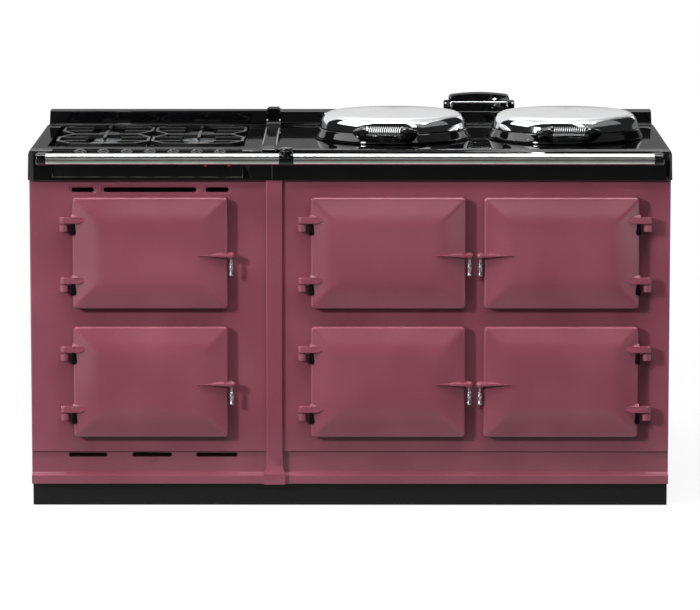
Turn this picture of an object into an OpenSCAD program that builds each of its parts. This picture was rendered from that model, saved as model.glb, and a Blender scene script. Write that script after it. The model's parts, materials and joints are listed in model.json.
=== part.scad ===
// Cast iron range cooker: a gas hob module on the left and a heat-storage cooker on the right.
// Millimetres. X runs to the right, Y to the rear, Z up. Lengths along Y are worked out from the
// face of the front panels, and placed() then centres the cooker on its origin.

/* [Overall] */
// Width across the side panels
cooker_w = 1583; // [1560:1:1600]
// Height of the top plates
worktop_h = 895; // [885:1:905]
// Front panel face to the rear edge of the top plates
body_depth = 640; // [630:1:660]
// Height of the plinth
plinth_h = 58; // [50:1:70]
// Top of the base trim, where the front panels begin
trim_top = 139; // [130:1:145]
// Height of the front skirt of the top plates
skirt_h = 77; // [74:1:80]

/* [Modules] */
// Centre of the strip that joins the two front panels
strip_x = -187.5; // [-190:0.5:-185]
// Width of the joint strip
strip_w = 41; // [36:1:46]
// Seam of the two top plates
seam_x = -192; // [-196:1:-188]
// Centre of the cover over the seam of the top plates
cover_x = -200; // [-204:1:-198]
// Width of that cover
cover_w = 36; // [30:1:40]

/* [Doors] */
// Width of a door
door_w = 383; // [380:1:386]
// Height of a door
door_h = 277; // [272:1:280]
// Thickness of a door at its raised centre
door_t = 37; // [34:1:42]
// Thickness of a door at its rim
door_rim_t = 25; // [22:1:28]
// Width of the sloping border of a door
door_border = 78; // [60:1:90]
// Radius along the edges of a door
door_edge_r = 7; // [4:1:9]
// Centre of the left doors
left_door_x = -493; // [-496:1:-490]
// Centre of the middle doors
middle_door_x = 94.5; // [92:0.5:97]
// Centre of the right doors
right_door_x = 522; // [519:1:525]
// Height of the centre of the upper doors
upper_door_z = 638.5; // [636:0.5:641]
// Distance from an upper door down to the lower one
door_pitch = 321.5; // [318:0.5:324]

/* [Hinges] */
// Hinge pin to the edge of the door
hinge_out = 21; // [19:0.5:23]
// Hinge pin to the face of the front panel
hinge_reach = 24; // [22:1:26]
// Radius of a hinge barrel
barrel_r = 11; // [9:0.5:12]
// Radius of a hinge pin
hinge_pin_r = 5; // [4:0.5:6]
// Gap between a moving pin and its bore
running_gap = 0.05; // [0.02:0.01:0.09]

/* [Lids] */
// Centre of the left lid
left_lid_x = 108; // [104:1:112]
// Centre of the right lid
right_lid_x = 543; // [539:1:547]
// Lid centre to the front panel face
lid_y = 285; // [275:1:290]
// Radius of a lid at its foot
lid_foot_r = 196; // [190:1:200]
// Radius of a lid at its seam
lid_seam_r = 185; // [180:1:190]
// Radius of the rolled shoulder of a lid
lid_roll_r = 33; // [28:1:38]
// Centre of that roll above the top plate
lid_roll_rise = 33; // [31:0.5:35]
// Number of curls in the wire of a lid handle
handle_curls = 15; // [10:1:20]
// Turn of the left lid's handle about the lid
left_handle_turn = -6; // [-10:1:0]
// Turn of the right lid's handle about the lid
right_handle_turn = 0; // [-5:1:5]

/* [Hob] */
// Centre of the left pan support
left_burner_x = -619; // [-622:1:-616]
// Centre of the right pan support
right_burner_x = -382; // [-385:1:-379]
// Front burners to the front panel face
front_burner_y = 206; // [200:1:212]
// Distance from a front burner to the one behind it
burner_pitch = 244; // [236:1:248]
// Depth of the hob well below the top plate
well_depth = 26; // [22:1:30]

/* [Towel rail and controls] */
// Diameter of the towel rail
rail_d = 28; // [24:1:30]
// Height of the centre of the rail
rail_z = 877; // [870:1:880]
// Centre of the rail in front of the panel face
rail_out = 70; // [64:1:74]
// Centre of the first control knob
first_knob_x = -664.6; // [-668:0.2:-662]
// Distance from one knob to the next
knob_pitch = 57.6; // [56:0.2:58]
// Height of the centre of the knobs
knob_z = 876.5; // [874:0.5:878]
// Radius of the foot of a knob
knob_r = 20; // [16:0.5:20]

/* [Hidden] */
$fn = 64;
HULL_FN = 18;
WIRE_FN = 8;
half_w = cooker_w / 2;
skirt_z = worktop_h - skirt_h;
skirt_out = 12;
skirt_back = 4;
skirt_half_w = half_w + 3.5;
upstand_y = body_depth - 50;
upstand_h = 38;
panel_t = 8;
trim_back = 16;
rear_y = 622;
door_gap = 3;
aperture_w = 350;
aperture_h = 250;
liner_wall = 8;
oven_depth = 480;
lug_h = 16.5;
lug_zs = [74, -76];
knuckle_h = 16;
knuckle_drop = 3;
catch_z = -4;
grip_out = 9;
grip_y = -30;
lid_seat_z = worktop_h + 0.6;
seam_z = worktop_h + 27.5;
hotplate_r = 158;
hotplate_t = 45;
hinge_y = lid_y + lid_foot_r + 14;
lid_pin_z = worktop_h + 14;
handle_y = -214;
handle_z = worktop_h + 35;
coil_len = 92;
coil_r = 11;
wire_d = 3.4;
well_x = [-750, -262];
well_y = [48, 568];
recess_x = [-733, -265];
recess_z = [827, 888];
recess_face = -2;
socket_r = 15.5;
rail_end_x = 745;
rail_end_len = 25;
mid_socket = [-174, -138];
vent_x = 333.5;
vent_w = 156;
vent_top = worktop_h + 82.5;
cap_h = 17.5;
front_reach = -rail_out - socket_r;

ENAMEL = "#8A4C5C";
BLACK = "#1A1A1B";
STEEL = "#C8C9C8";
CHROME = "#E2E4E6";
IRON = "#3A3A3C";

lower_door_z = upper_door_z - door_pitch;
door_zs = [upper_door_z, lower_door_z];
// Each door's centre, height, and the side its hinges are on
DOORS = [
    [left_door_x, upper_door_z, -1], [left_door_x, lower_door_z, -1],
    [middle_door_x, upper_door_z, -1], [middle_door_x, lower_door_z, -1],
    [right_door_x, upper_door_z, 1], [right_door_x, lower_door_z, 1]
];

// ---- shared shapes -------------------------------------------------------------------------

// Centres the cooker on its origin, front to back
module placed() translate([0, -(front_reach + body_depth) / 2, 0]) children();

// A side view in Y and Z, drawn out along X
module across(x0, x1) translate([x0, 0, 0]) rotate([90, 0, 90]) linear_extrude(x1 - x0) children();

// A front view in X and Z, drawn out along Y
module facing(y0, y1) translate([0, y1, 0]) rotate([90, 0, 0]) linear_extrude(y1 - y0) children();

module rounded_rect(w, h, r) {
    square([w - 2 * r, h], center = true);
    square([w, h - 2 * r], center = true);
    for (x = [-1, 1])
        for (y = [-1, 1])
            translate([x * (w / 2 - r), y * (h / 2 - r)]) circle(r);
}

// A slot with round ends between two places along its length
module slot(x0, x1, z, h) {
    translate([x0 + h / 2, z - h / 2]) square([x1 - x0 - h, h]);
    translate([x0 + h / 2, z]) circle(h / 2);
    translate([x1 - h / 2, z]) circle(h / 2);
}

module rounded_box(x, y, z, r) {
    translate([(x[0] + x[1]) / 2, (y[0] + y[1]) / 2, z[0]])
        linear_extrude(z[1] - z[0]) rounded_rect(x[1] - x[0], y[1] - y[0], r);
}

// ---- base and casing -----------------------------------------------------------------------

module plinth() {
    recess = 20;
    board = 18;
    deck = 8;
    end_x = half_w - 1;
    color("#2A2B2A") placed() difference() {
        rounded_box([-end_x, end_x], [recess, 624], [0, plinth_h], 3);
        translate([-end_x + board, recess + board, -1])
            cube([2 * (end_x - board), 624 - recess - 2 * board, plinth_h - deck + 1]);
    }
}

// Side view of the base trim: a cove rising from a rounded ledge
module trim_section() {
    ledge = 8;
    nose_r = 5;
    ledge_z = plinth_h + 24;
    set_back = 6;
    cove_r = set_back + ledge - nose_r;
    translate([-ledge, plinth_h]) square([ledge + trim_back, ledge_z - nose_r - plinth_h]);
    translate([-ledge + nose_r, plinth_h]) square([ledge + trim_back - nose_r, ledge_z - plinth_h]);
    translate([-ledge + nose_r, ledge_z - nose_r]) circle(nose_r);
    translate([set_back, plinth_h]) square([trim_back - set_back, trim_top - plinth_h]);
    difference() {
        translate([-ledge + nose_r, ledge_z]) square(cove_r);
        translate([-ledge + nose_r, ledge_z + cove_r]) circle(cove_r);
    }
}

module base_trims() {
    slots = [[-700, -604], [-542, -443], [-383, -280]];
    slot_z = 129.5;
    color(ENAMEL) placed() {
        difference() {
            across(-half_w, strip_x - 0.3) trim_section();
            facing(-1, 20) for (s = slots) slot(s[0], s[1], slot_z, 11);
        }
        across(strip_x + 0.3, half_w) trim_section();
        // the small lip under the middle slot
        facing(2.5, 6) translate([-492, slot_z - 11]) rounded_rect(20, 6, 2);
    }
}

// Plan of a front panel with its outer front corner rounded
module panel_plan(x0, x1, outer) {
    r = panel_t / 2;
    difference() {
        translate([x0, 0]) square([x1 - x0, panel_t]);
        translate([outer < 0 ? x0 : x1 - r, 0]) square(r);
    }
    translate([outer < 0 ? x0 + r : x1 - r, r]) circle(r);
}

module front_panel(x0, x1, outer, columns) {
    difference() {
        translate([0, 0, trim_top]) linear_extrude(skirt_z - trim_top) panel_plan(x0, x1, outer);
        for (x = columns)
            for (z = door_zs)
                facing(-1, panel_t + 1) translate([x, z]) rounded_rect(aperture_w, aperture_h, 14);
    }
}

module front_panel_left() {
    slots = [[-687, -632], [-608, -379], [-356, -299]];
    slot_z = 793.5;
    color(ENAMEL) placed() difference() {
        front_panel(-half_w, strip_x - 0.3, -1, [left_door_x]);
        facing(-1, panel_t + 1) for (s = slots) slot(s[0], s[1], slot_z, 12);
        // the pressed bevel round each slot
        facing(-1, 1.5) for (s = slots) slot(s[0] - 6, s[1] + 6, slot_z, 19);
    }
}

module front_panel_right() {
    color(ENAMEL) placed()
        front_panel(strip_x + 0.3, half_w, 1, [middle_door_x, right_door_x]);
}

// The strip over the joint of the front panels, with its foot on the base trim
module joint_strip() {
    proud = 9;
    edge_r = 4;
    foot_flare = 6;
    foot_top = plinth_h + 46;
    color(ENAMEL) placed() {
        translate([strip_x, -proud / 2, foot_top])
            linear_extrude(skirt_z - foot_top) rounded_rect(strip_w, proud, edge_r);
        translate([strip_x - strip_w / 2 + 2, -2, trim_top])
            cube([strip_w - 4, 2, skirt_z - trim_top]);
        difference() {
            facing(-proud - 8, 6) translate([strip_x, 0]) polygon([
                [-strip_w / 2 - foot_flare, plinth_h], [strip_w / 2 + foot_flare, plinth_h],
                [strip_w / 2 + foot_flare, plinth_h + 26], [strip_w / 2, plinth_h + 42],
                [strip_w / 2, trim_top], [-strip_w / 2, trim_top],
                [-strip_w / 2, plinth_h + 42], [-strip_w / 2 - foot_flare, plinth_h + 26]
            ]);
            across(-half_w, half_w) polygon([
                [-proud - 9, plinth_h + 25], [-proud - 5, plinth_h + 27], [-proud, foot_top],
                [-proud, trim_top + 1], [-proud - 9, trim_top + 1]
            ]);
            across(-half_w, half_w) trim_section();
        }
    }
}

module side_panels() {
    sheet = 6;
    color(ENAMEL) placed() difference() {
        for (s = [-1, 1])
            translate([s * (half_w - sheet / 2), 0, 0])
                rounded_box([-sheet / 2, sheet / 2], [panel_t, 636], [plinth_h, skirt_z], 2);
        // notched for the ends of the base trims
        translate([-half_w - 1, panel_t - 1, plinth_h - 1])
            cube([cooker_w + 2, trim_back - panel_t + 1, trim_top - plinth_h + 1]);
    }
}

module rear_panel() {
    panel = 6;
    vent_rows = 4;
    color("#8F9192") placed() {
        difference() {
            translate([-half_w + 6, rear_y, plinth_h])
                cube([strip_x + half_w - 6.5, panel, skirt_z - plinth_h]);
            facing(rear_y - 1, rear_y + panel + 1)
                for (row = [0 : vent_rows - 1])
                    for (x = [-640, -490, -340])
                        slot(x - 50, x + 50, 690 + 20 * row, 8);
        }
        translate([strip_x + 0.5, rear_y, plinth_h])
            cube([half_w - strip_x - 6.5, panel, skirt_z - plinth_h]);
        // gas inlet on the left module and a cable gland on each
        translate([-700, rear_y + panel, 200]) rotate([-90, 0, 0]) cylinder(h = 11, r = 12, $fn = 6);
        for (x = [-250, 700])
            translate([x, rear_y + panel, 160]) rotate([-90, 0, 0]) {
                cylinder(h = 5, r = 15);
                cylinder(h = 11, r = 10);
            }
    }
}

// Mineral wool blocks that fill the casing round the ovens
module insulation() {
    front_y = panel_t;
    back_y = 612;
    inner_x = half_w - 6;
    bottom = plinth_h;
    deck_z = skirt_z - 12;
    color("#B9B4A6") placed() difference() {
        union() {
            translate([-inner_x, front_y, bottom])
                cube([strip_x - 3 + inner_x, back_y - front_y, skirt_z - 36 - bottom]);
            translate([strip_x + 3, front_y, bottom])
                cube([inner_x - strip_x - 3, back_y - front_y, deck_z - bottom]);
            // the bed of the hotplates, inside the top plate
            translate([seam_x + 10, front_y, deck_z])
                cube([inner_x - seam_x - 10, back_y - front_y, worktop_h - hotplate_t - deck_z]);
        }
        // air space behind the slots of the left base trim
        translate([-inner_x - 1, front_y - 1, bottom - 1])
            cube([strip_x + inner_x, 60, 146 - bottom]);
        // room for the flanges of the base trim
        translate([-inner_x - 1, front_y - 1, bottom - 1])
            cube([2 * inner_x + 2, 9, trim_top - bottom + 1]);
        for (d = DOORS)
            facing(front_y - 1, panel_t + oven_depth + liner_wall)
                translate([d[0], d[1]])
                    rounded_rect(aperture_w + 2 * liner_wall, aperture_h + 2 * liner_wall, 20);
    }
}

// ---- ovens ---------------------------------------------------------------------------------

module oven_liner(x, z) {
    runner = [30, 430];
    back_y = panel_t + oven_depth;
    translate([x, 0, z]) {
        difference() {
            facing(panel_t, back_y + liner_wall)
                rounded_rect(aperture_w + 2 * liner_wall, aperture_h + 2 * liner_wall, 20);
            facing(panel_t - 1, back_y) rounded_rect(aperture_w, aperture_h, 14);
        }
        // ledges that carry the shelves
        for (s = [-1, 1])
            for (h = [-52, 28])
                translate([s > 0 ? aperture_w / 2 - 7 : -aperture_w / 2 - 1, runner[0], h])
                    cube([8, runner[1], 6]);
    }
}

module oven_liners(x) {
    color(IRON) placed()
        for (z = door_zs) oven_liner(x, z);
}

// One wire shelf in each oven, resting on the lower ledges
module oven_shelves() {
    rod_r = 3;
    bar_r = 2.5;
    shelf_w = aperture_w - 4;
    shelf_d = 420;
    bars = 7;
    color(STEEL) placed()
        for (d = DOORS)
            translate([d[0], 36, d[1] - 46 + rod_r]) {
                for (y = [rod_r, shelf_d - rod_r])
                    translate([-shelf_w / 2, y, 0]) rotate([0, 90, 0])
                        cylinder(h = shelf_w, r = rod_r, $fn = WIRE_FN);
                for (i = [0 : bars - 1])
                    translate([-shelf_w / 2 + 12 + i * (shelf_w - 24) / (bars - 1), 0, rod_r])
                        rotate([-90, 0, 0]) cylinder(h = shelf_d, r = bar_r, $fn = WIRE_FN);
            }
}

// ---- doors ---------------------------------------------------------------------------------

// Half-sine rise of a door's face from its rim to its flat centre
function border_rise(s) = door_rim_t + (door_t - door_rim_t) * sin(90 * s);

// Section of a door through its face: a rounded rim, a sloping border and a flat centre
module pillow_section(w) {
    steps = 5;
    inner = w / 2 - door_edge_r;
    slope = [for (i = [0 : steps]) [inner - i * door_border / steps, border_rise(i / steps)]];
    polygon(concat(
        [[w / 2, 0], [w / 2, door_rim_t - door_edge_r]],
        slope,
        [for (i = [steps : -1 : 0]) [-slope[i][0], slope[i][1]]],
        [[-w / 2, door_rim_t - door_edge_r], [-w / 2, 0]]
    ));
    for (s = [-1, 1])
        translate([s * inner, door_rim_t - door_edge_r]) circle(door_edge_r);
}

// The pillow face: its long and short sections meet on mitred corners
module door_pillow() {
    corner_r = 9;
    intersection() {
        translate([0, 0, -door_h / 2]) linear_extrude(door_h) mirror([0, 1]) pillow_section(door_w);
        across(-door_w / 2, door_w / 2) rotate(90) pillow_section(door_h);
        facing(-door_t - 1, 0) rounded_rect(door_w, door_h, corner_r);
    }
}

// A hinge lug: a barrel round the pin, and a bar that dies away into the door's border, with a
// ramp on top of it from the door's edge on
module hinge_lug() {
    reach = 58;
    taper_x = 50;
    ramp_x = 19;
    ramp_h = 6.5;
    linear_extrude(lug_h) circle(barrel_r);
    facing(-barrel_r, barrel_r) polygon([
        [0, 0], [taper_x, 0], [reach, 5], [reach, lug_h - 3], [taper_x, lug_h], [0, lug_h]
    ]);
    intersection() {
        across(ramp_x, reach) polygon([
            [-barrel_r, 1], [-barrel_r, lug_h - 1], [1 + ramp_h - barrel_r, lug_h + ramp_h],
            [barrel_r, lug_h + ramp_h], [barrel_r, 1]
        ]);
        facing(-barrel_r - 1, barrel_r + 1) polygon([
            [ramp_x, 1], [taper_x, 1], [reach, 6], [reach, lug_h + 2], [ramp_x, lug_h + ramp_h]
        ]);
    }
}

// The catch arm: a spike along the face that ends in a rounded knuckle past the free edge
module catch_arm() {
    tip = -74;
    end_r = 7.5;
    facing(-44 + door_gap, -12) {
        polygon([
            [tip, 0], [-40, 4.5], [-10, end_r], [8, end_r], [8, -end_r], [-10, -6.5], [-40, -3.5]
        ]);
        translate([8, 0]) circle(end_r);
    }
}

// A door about the centre of its rear face; hinges on the left for side -1
module door(x, z, side) {
    pin = [door_w / 2 + hinge_out, -hinge_reach + door_gap, 0];
    color(ENAMEL) placed() translate([x, -door_gap, z])
        scale([-side, 1, 1])
            difference() {
                union() {
                    door_pillow();
                    for (h = lug_zs) translate([-pin[0], pin[1], h]) hinge_lug();
                    translate([door_w / 2, 0, catch_z]) catch_arm();
                }
                for (h = lug_zs)
                    translate([-pin[0], pin[1], h - 1])
                        cylinder(h = lug_h - 2, r = hinge_pin_r + running_gap);
            }
}

// The insulated plug that closes the oven mouth, with the flange that seals on the panel
module door_liner(x, z) {
    play = 6;
    plug_back = 15;
    color(STEEL) placed() translate([x, 0, z]) {
        facing(-door_gap, plug_back)
            rounded_rect(aperture_w - 2 * play, aperture_h - 2 * play, 10);
        facing(-door_gap, -0.6) rounded_rect(aperture_w + 16, aperture_h + 10, 12);
    }
}

// The turned steel grip that hangs from the catch arm
module door_grip(x, z, side) {
    arm_bottom = catch_z - 7.5;
    color(CHROME) placed()
        translate([x - side * (door_w / 2 + grip_out), grip_y, z])
            rotate_extrude() polygon([
                [0, -57.5], [4.2, -57.5], [5.9, -55.8], [5.9, -50], [4.9, -47], [4.7, -43],
                [4.9, -39], [5.9, -36], [5.9, -30.5], [4.4, -29], [4.4, -27.5], [5.4, -26.5],
                [5.4, -23.5], [3.4, -22.5], [3.4, arm_bottom], [0, arm_bottom]
            ]);
}

// The knuckles on the front panels, each with the upright pin that a door lug drops over
module hinge_brackets() {
    foot_w = 18;
    color(ENAMEL) placed()
        for (d = DOORS)
            for (h = lug_zs)
                translate([d[0] + d[2] * (door_w / 2 + hinge_out), 0, d[1] + h - knuckle_drop - knuckle_h]) {
                    translate([0, -hinge_reach, 0]) cylinder(h = knuckle_h, r = barrel_r);
                    translate([-foot_w / 2, -hinge_reach, 1]) cube([foot_w, hinge_reach, knuckle_h - 2]);
                    translate([0, -3, knuckle_h / 2]) rotate([90, 0, 0]) translate([0, 0, -3])
                        cylinder(h = 5, r = 13);
                    translate([0, -hinge_reach, 0])
                        cylinder(h = knuckle_h + knuckle_drop + lug_h - 5, r = hinge_pin_r);
                }
}

// ---- top plates ----------------------------------------------------------------------------

// Side view of a top plate: skirt, rounded front edge, and the upstand at the rear
module plate_section() {
    nose_r = 12;
    top_r = 5;
    cove_r = 9;
    translate([-skirt_out, skirt_z]) square([body_depth + skirt_out, skirt_h - nose_r]);
    translate([-skirt_out + nose_r, skirt_z]) square([body_depth + skirt_out - nose_r, skirt_h]);
    translate([-skirt_out + nose_r, worktop_h - nose_r]) circle(nose_r);
    translate([upstand_y + top_r, worktop_h]) square([body_depth - upstand_y - top_r, upstand_h]);
    translate([upstand_y, worktop_h]) square([body_depth - upstand_y, upstand_h - top_r]);
    translate([upstand_y + top_r, worktop_h + upstand_h - top_r]) circle(top_r);
    difference() {
        translate([upstand_y - cove_r, worktop_h]) square(cove_r);
        translate([upstand_y - cove_r, worktop_h + cove_r]) circle(cove_r);
    }
}

// Front view of both top plates, drawn in a little towards the top
module plate_outline() {
    polygon([
        [-skirt_half_w, skirt_z], [skirt_half_w, skirt_z], [skirt_half_w - 2, worktop_h - 12],
        [skirt_half_w - 5, worktop_h - 4.5], [skirt_half_w - 13, worktop_h],
        [skirt_half_w - 15, worktop_h + upstand_h + 1], [-skirt_half_w + 15, worktop_h + upstand_h + 1],
        [-skirt_half_w + 13, worktop_h], [-skirt_half_w + 5, worktop_h - 4.5],
        [-skirt_half_w + 2, worktop_h - 12]
    ]);
}

module plate_shell(x0, x1) {
    skin = 8;
    corner_r = 16;
    depth = body_depth + skirt_out;
    difference() {
        intersection() {
            across(x0, x1) plate_section();
            facing(-skirt_out, body_depth) plate_outline();
            translate([0, (body_depth - skirt_out) / 2, skirt_z])
                linear_extrude(skirt_h + upstand_h) rounded_rect(2 * skirt_half_w, depth, corner_r);
        }
        translate([max(x0, -skirt_half_w) + skin, skirt_back, skirt_z - 1])
            cube([x1 - x0 - 2 * skin, rear_y - skirt_back, skirt_h - skin + 1]);
    }
}

module top_plate_left() {
    wall = 3;
    floor_z = worktop_h - well_depth;
    color(BLACK) placed() difference() {
        union() {
            plate_shell(-skirt_half_w, seam_x - 0.3);
            rounded_box([well_x[0] - wall, well_x[1] + wall], [well_y[0] - wall, well_y[1] + wall],
                        [floor_z - wall, worktop_h - 4], 23);
        }
        rounded_box(well_x, well_y, [floor_z, worktop_h + 1], 20);
        // the control recess, open at the top
        facing(-skirt_out - 1, recess_face)
            translate([recess_x[0], recess_z[0]]) square([recess_x[1] - recess_x[0], 100]);
        // the seat of the control panel
        facing(-skirt_out - 1, skirt_back + 1)
            translate([recess_x[0], recess_z[0]])
                square([recess_x[1] - recess_x[0], recess_z[1] - recess_z[0]]);
    }
}

module top_plate_right() {
    collar_r = hotplate_r + 2;
    color(BLACK) placed() difference() {
        union() {
            plate_shell(seam_x + 0.3, skirt_half_w);
            for (x = [left_lid_x, right_lid_x])
                translate([x, lid_y, worktop_h - 8]) cylinder(h = 10, r = collar_r + 8);
        }
        for (x = [left_lid_x, right_lid_x])
            translate([x, lid_y, worktop_h - 12]) cylinder(h = 20, r = collar_r);
    }
}

// The cover over the seam, running back over the plates and up over the upstand
module cover_section(t) {
    nose_r = 12;
    difference() {
        union() {
            translate([nose_r - skirt_out, worktop_h])
                square([upstand_y - nose_r + skirt_out, t]);
            translate([upstand_y - t - 1, worktop_h]) square([t + 1, upstand_h + t]);
            translate([upstand_y - t - 1, worktop_h + upstand_h]) square([body_depth - upstand_y + t + 1, t]);
            translate([nose_r - skirt_out, worktop_h - nose_r]) circle(nose_r + t);
        }
        translate([nose_r - skirt_out, worktop_h - nose_r]) circle(nose_r);
        translate([nose_r - skirt_out, worktop_h - nose_r - 30]) square([40, nose_r + 30]);
        translate([-40, worktop_h - nose_r - 40]) square([80, 40]);
    }
    // fills the cove at the foot of the upstand
    translate([upstand_y - 9, worktop_h]) square([9, 9]);
}

module top_joint_cover() {
    edge = 3.5;
    color(BLACK) placed() difference() {
        union() {
            across(cover_x - cover_w / 2, cover_x + cover_w / 2) cover_section(2.5);
            across(cover_x - cover_w / 2 + edge, cover_x + cover_w / 2 - edge) cover_section(6);
        }
        across(cover_x - cover_w, cover_x + cover_w) plate_section();
    }
}

module hotplates() {
    color(IRON) placed()
        for (x = [left_lid_x, right_lid_x])
            translate([x, lid_y, 0])
                rotate_extrude() polygon([
                    [0, worktop_h - hotplate_t], [hotplate_r - 12, worktop_h - hotplate_t],
                    [hotplate_r, worktop_h - hotplate_t + 7], [hotplate_r, worktop_h + 2],
                    [hotplate_r - 2, worktop_h + 4], [0, worktop_h + 4]
                ]);
}

// ---- lids ----------------------------------------------------------------------------------

// Outline of the spun dome above its seam, drawn in by a wall: a side that leans a little, a
// big rolled shoulder, and a shallow crown that runs on from it
function dome_outline(wall) = let(
    lean = 12.6,
    crown_tilt = 5,
    roll_steps = 12,
    crown_steps = 6,
    roll_x = lid_seam_r - 2 - lid_roll_r,
    roll_z = worktop_h + lid_roll_rise,
    crown_r = roll_x / sin(crown_tilt) + lid_roll_r,
    crown_z = roll_z - roll_x / tan(crown_tilt)
) concat(
    [[lid_seam_r - wall, seam_z]],
    [for (i = [0 : roll_steps]) let(a = lean + (90 - crown_tilt - lean) * i / roll_steps)
        [roll_x + (lid_roll_r - wall) * cos(a), roll_z + (lid_roll_r - wall) * sin(a)]],
    [for (i = [crown_steps - 1 : -1 : 0]) let(a = crown_tilt * i / crown_steps)
        [(crown_r - wall) * sin(a), crown_z + (crown_r - wall) * cos(a)]]
);

module dome_section() polygon(concat([[0, seam_z]], dome_outline(0)));

// Section of the lower ring: it overhangs the collar of the hotplate and narrows to the seam
module ring_section() {
    polygon([
        [0, worktop_h + 4.6], [hotplate_r + 4, worktop_h + 4.6], [hotplate_r + 11, worktop_h + 3],
        [hotplate_r + 13, lid_seat_z], [lid_foot_r - 2, lid_seat_z],
        [lid_foot_r, lid_seat_z + 2.5], [lid_foot_r - 3, lid_seat_z + 9],
        [lid_seam_r + 1.5, seam_z - 3], [lid_seam_r - 2.5, seam_z - 2],
        [lid_seam_r - 2.5, seam_z], [0, seam_z]
    ]);
}

module lid_dome(x) {
    skin = 3;
    color(CHROME) placed() translate([x, lid_y, 0]) rotate_extrude()
        difference() {
            dome_section();
            polygon(concat([[0, seam_z - 1], [lid_seam_r - skin, seam_z - 1]], dome_outline(skin)));
        }
}

// The insulated lower ring, with the hinge barrel behind it
module lid_ring(x) {
    barrel_w = 50;
    color(BLACK) placed() difference() {
        union() {
            translate([x, lid_y, 0]) rotate_extrude() ring_section();
            translate([x - barrel_w / 2, lid_y + lid_seam_r - 10, lid_pin_z - 10])
                cube([barrel_w, hinge_y - lid_y - lid_seam_r + 10, 15]);
            translate([x - barrel_w / 2, hinge_y, lid_pin_z]) rotate([0, 90, 0])
                cylinder(h = barrel_w, r = 10);
        }
        translate([x - barrel_w, hinge_y, lid_pin_z]) rotate([0, 90, 0])
            cylinder(h = 2 * barrel_w, r = hinge_pin_r + running_gap);
    }
}

// One of the two horns that carry the wire handle, drawn on the right-hand side
module handle_horn() {
    cup_x = coil_len / 2;
    pad = [69, -164, worktop_h + 21];
    hull() {
        translate([cup_x, handle_y, handle_z]) rotate([0, 90, 0])
            cylinder(h = 7, r = 12.5, $fn = HULL_FN);
        translate([cup_x + 13, handle_y + 5, handle_z - 1]) sphere(r = 10, $fn = HULL_FN);
    }
    hull() {
        translate([cup_x + 13, handle_y + 5, handle_z - 1]) sphere(r = 10, $fn = HULL_FN);
        translate([pad[0] + 5, handle_y + 24, handle_z - 5]) sphere(r = 8.5, $fn = HULL_FN);
    }
    hull() {
        translate([pad[0] + 5, handle_y + 24, handle_z - 5]) sphere(r = 8.5, $fn = HULL_FN);
        translate(pad) sphere(r = 8, $fn = HULL_FN);
    }
}

module lid_handle(x, turn) {
    color(BLACK) placed() translate([x, lid_y, 0]) rotate(turn) difference() {
        union() {
            handle_horn();
            mirror([1, 0, 0]) handle_horn();
            translate([-coil_len / 2 - 4, handle_y, handle_z]) rotate([0, 90, 0])
                cylinder(h = coil_len + 8, r = 4);
        }
        // the horns are dressed off against the side of the lid
        rotate_extrude() ring_section();
        rotate_extrude() dome_section();
    }
}

// The coiled wire of a handle, as one tube swept along a helix with straight ends

rings_per_curl = 8;
wire_sides = 6;
lead = wire_d + 2.6;
curl_pitch = (coil_len - 2 * lead) / handle_curls;
curl_rings = handle_curls * rings_per_curl;

// Place along the axis and angle of each ring of the wire
function coil_stations() = concat(
    [[-coil_len / 2, 0], [-coil_len / 2 + wire_d, 0], [-coil_len / 2 + wire_d + 1.6, 8],
     [-coil_len / 2 + wire_d + 2.5, 24]],
    [for (i = [1 : curl_rings - 1])
        [-coil_len / 2 + lead + i * curl_pitch / rings_per_curl, i * 360 / rings_per_curl]],
    [[coil_len / 2 - wire_d - 2.5, -24], [coil_len / 2 - wire_d - 1.6, -8],
     [coil_len / 2 - wire_d, 0], [coil_len / 2, 0]]
);

function coil_path() = [for (s = coil_stations()) [s[0], coil_r * sin(s[1]), coil_r * cos(s[1])]];

function unit(v) = v / norm(v);

function tangent(p, i) = unit(p[min(i + 1, len(p) - 1)] - p[max(i - 1, 0)]);

// One ring of the wire, square to the path and turned with the curl
function wire_ring(p, i) = let(
    t = tangent(p, i),
    outward = unit([0, p[i][1], p[i][2]]),
    n = unit(outward - (outward * t) * t),
    b = cross(t, n)
) [for (k = [0 : wire_sides - 1])
    p[i] + wire_d / 2 * (cos(k * 360 / wire_sides) * n + sin(k * 360 / wire_sides) * b)];

function least_gap(p) = min([for (i = [0 : len(p) - 1])
    for (j = [i + rings_per_curl / 2 : 1 : len(p) - 1]) norm(p[i] - p[j])]) - wire_d;

module wire_tube(p) {
    m = wire_sides;
    last = len(p) - 1;
    points = [for (i = [0 : last]) each wire_ring(p, i)];
    side_faces = [for (i = [0 : last - 1]) for (k = [0 : m - 1]) let(
        a = i * m + k, b = i * m + (k + 1) % m, c = b + m, d = a + m
    ) each [[a, b, c], [a, c, d]]];
    start_cap = [for (k = [1 : m - 2]) [0, k + 1, k]];
    end_cap = [for (k = [1 : m - 2]) [last * m, last * m + k, last * m + k + 1]];
    polyhedron(points, [for (f = concat(side_faces, start_cap, end_cap)) [f[2], f[1], f[0]]]);
}

module lid_coil(x, turn) {
    color(CHROME) placed() translate([x, lid_y, 0]) rotate(turn)
        translate([0, handle_y, handle_z]) wire_tube(coil_path());
}

echo(least_gap_of_handle_wire = least_gap(coil_path()));

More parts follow.
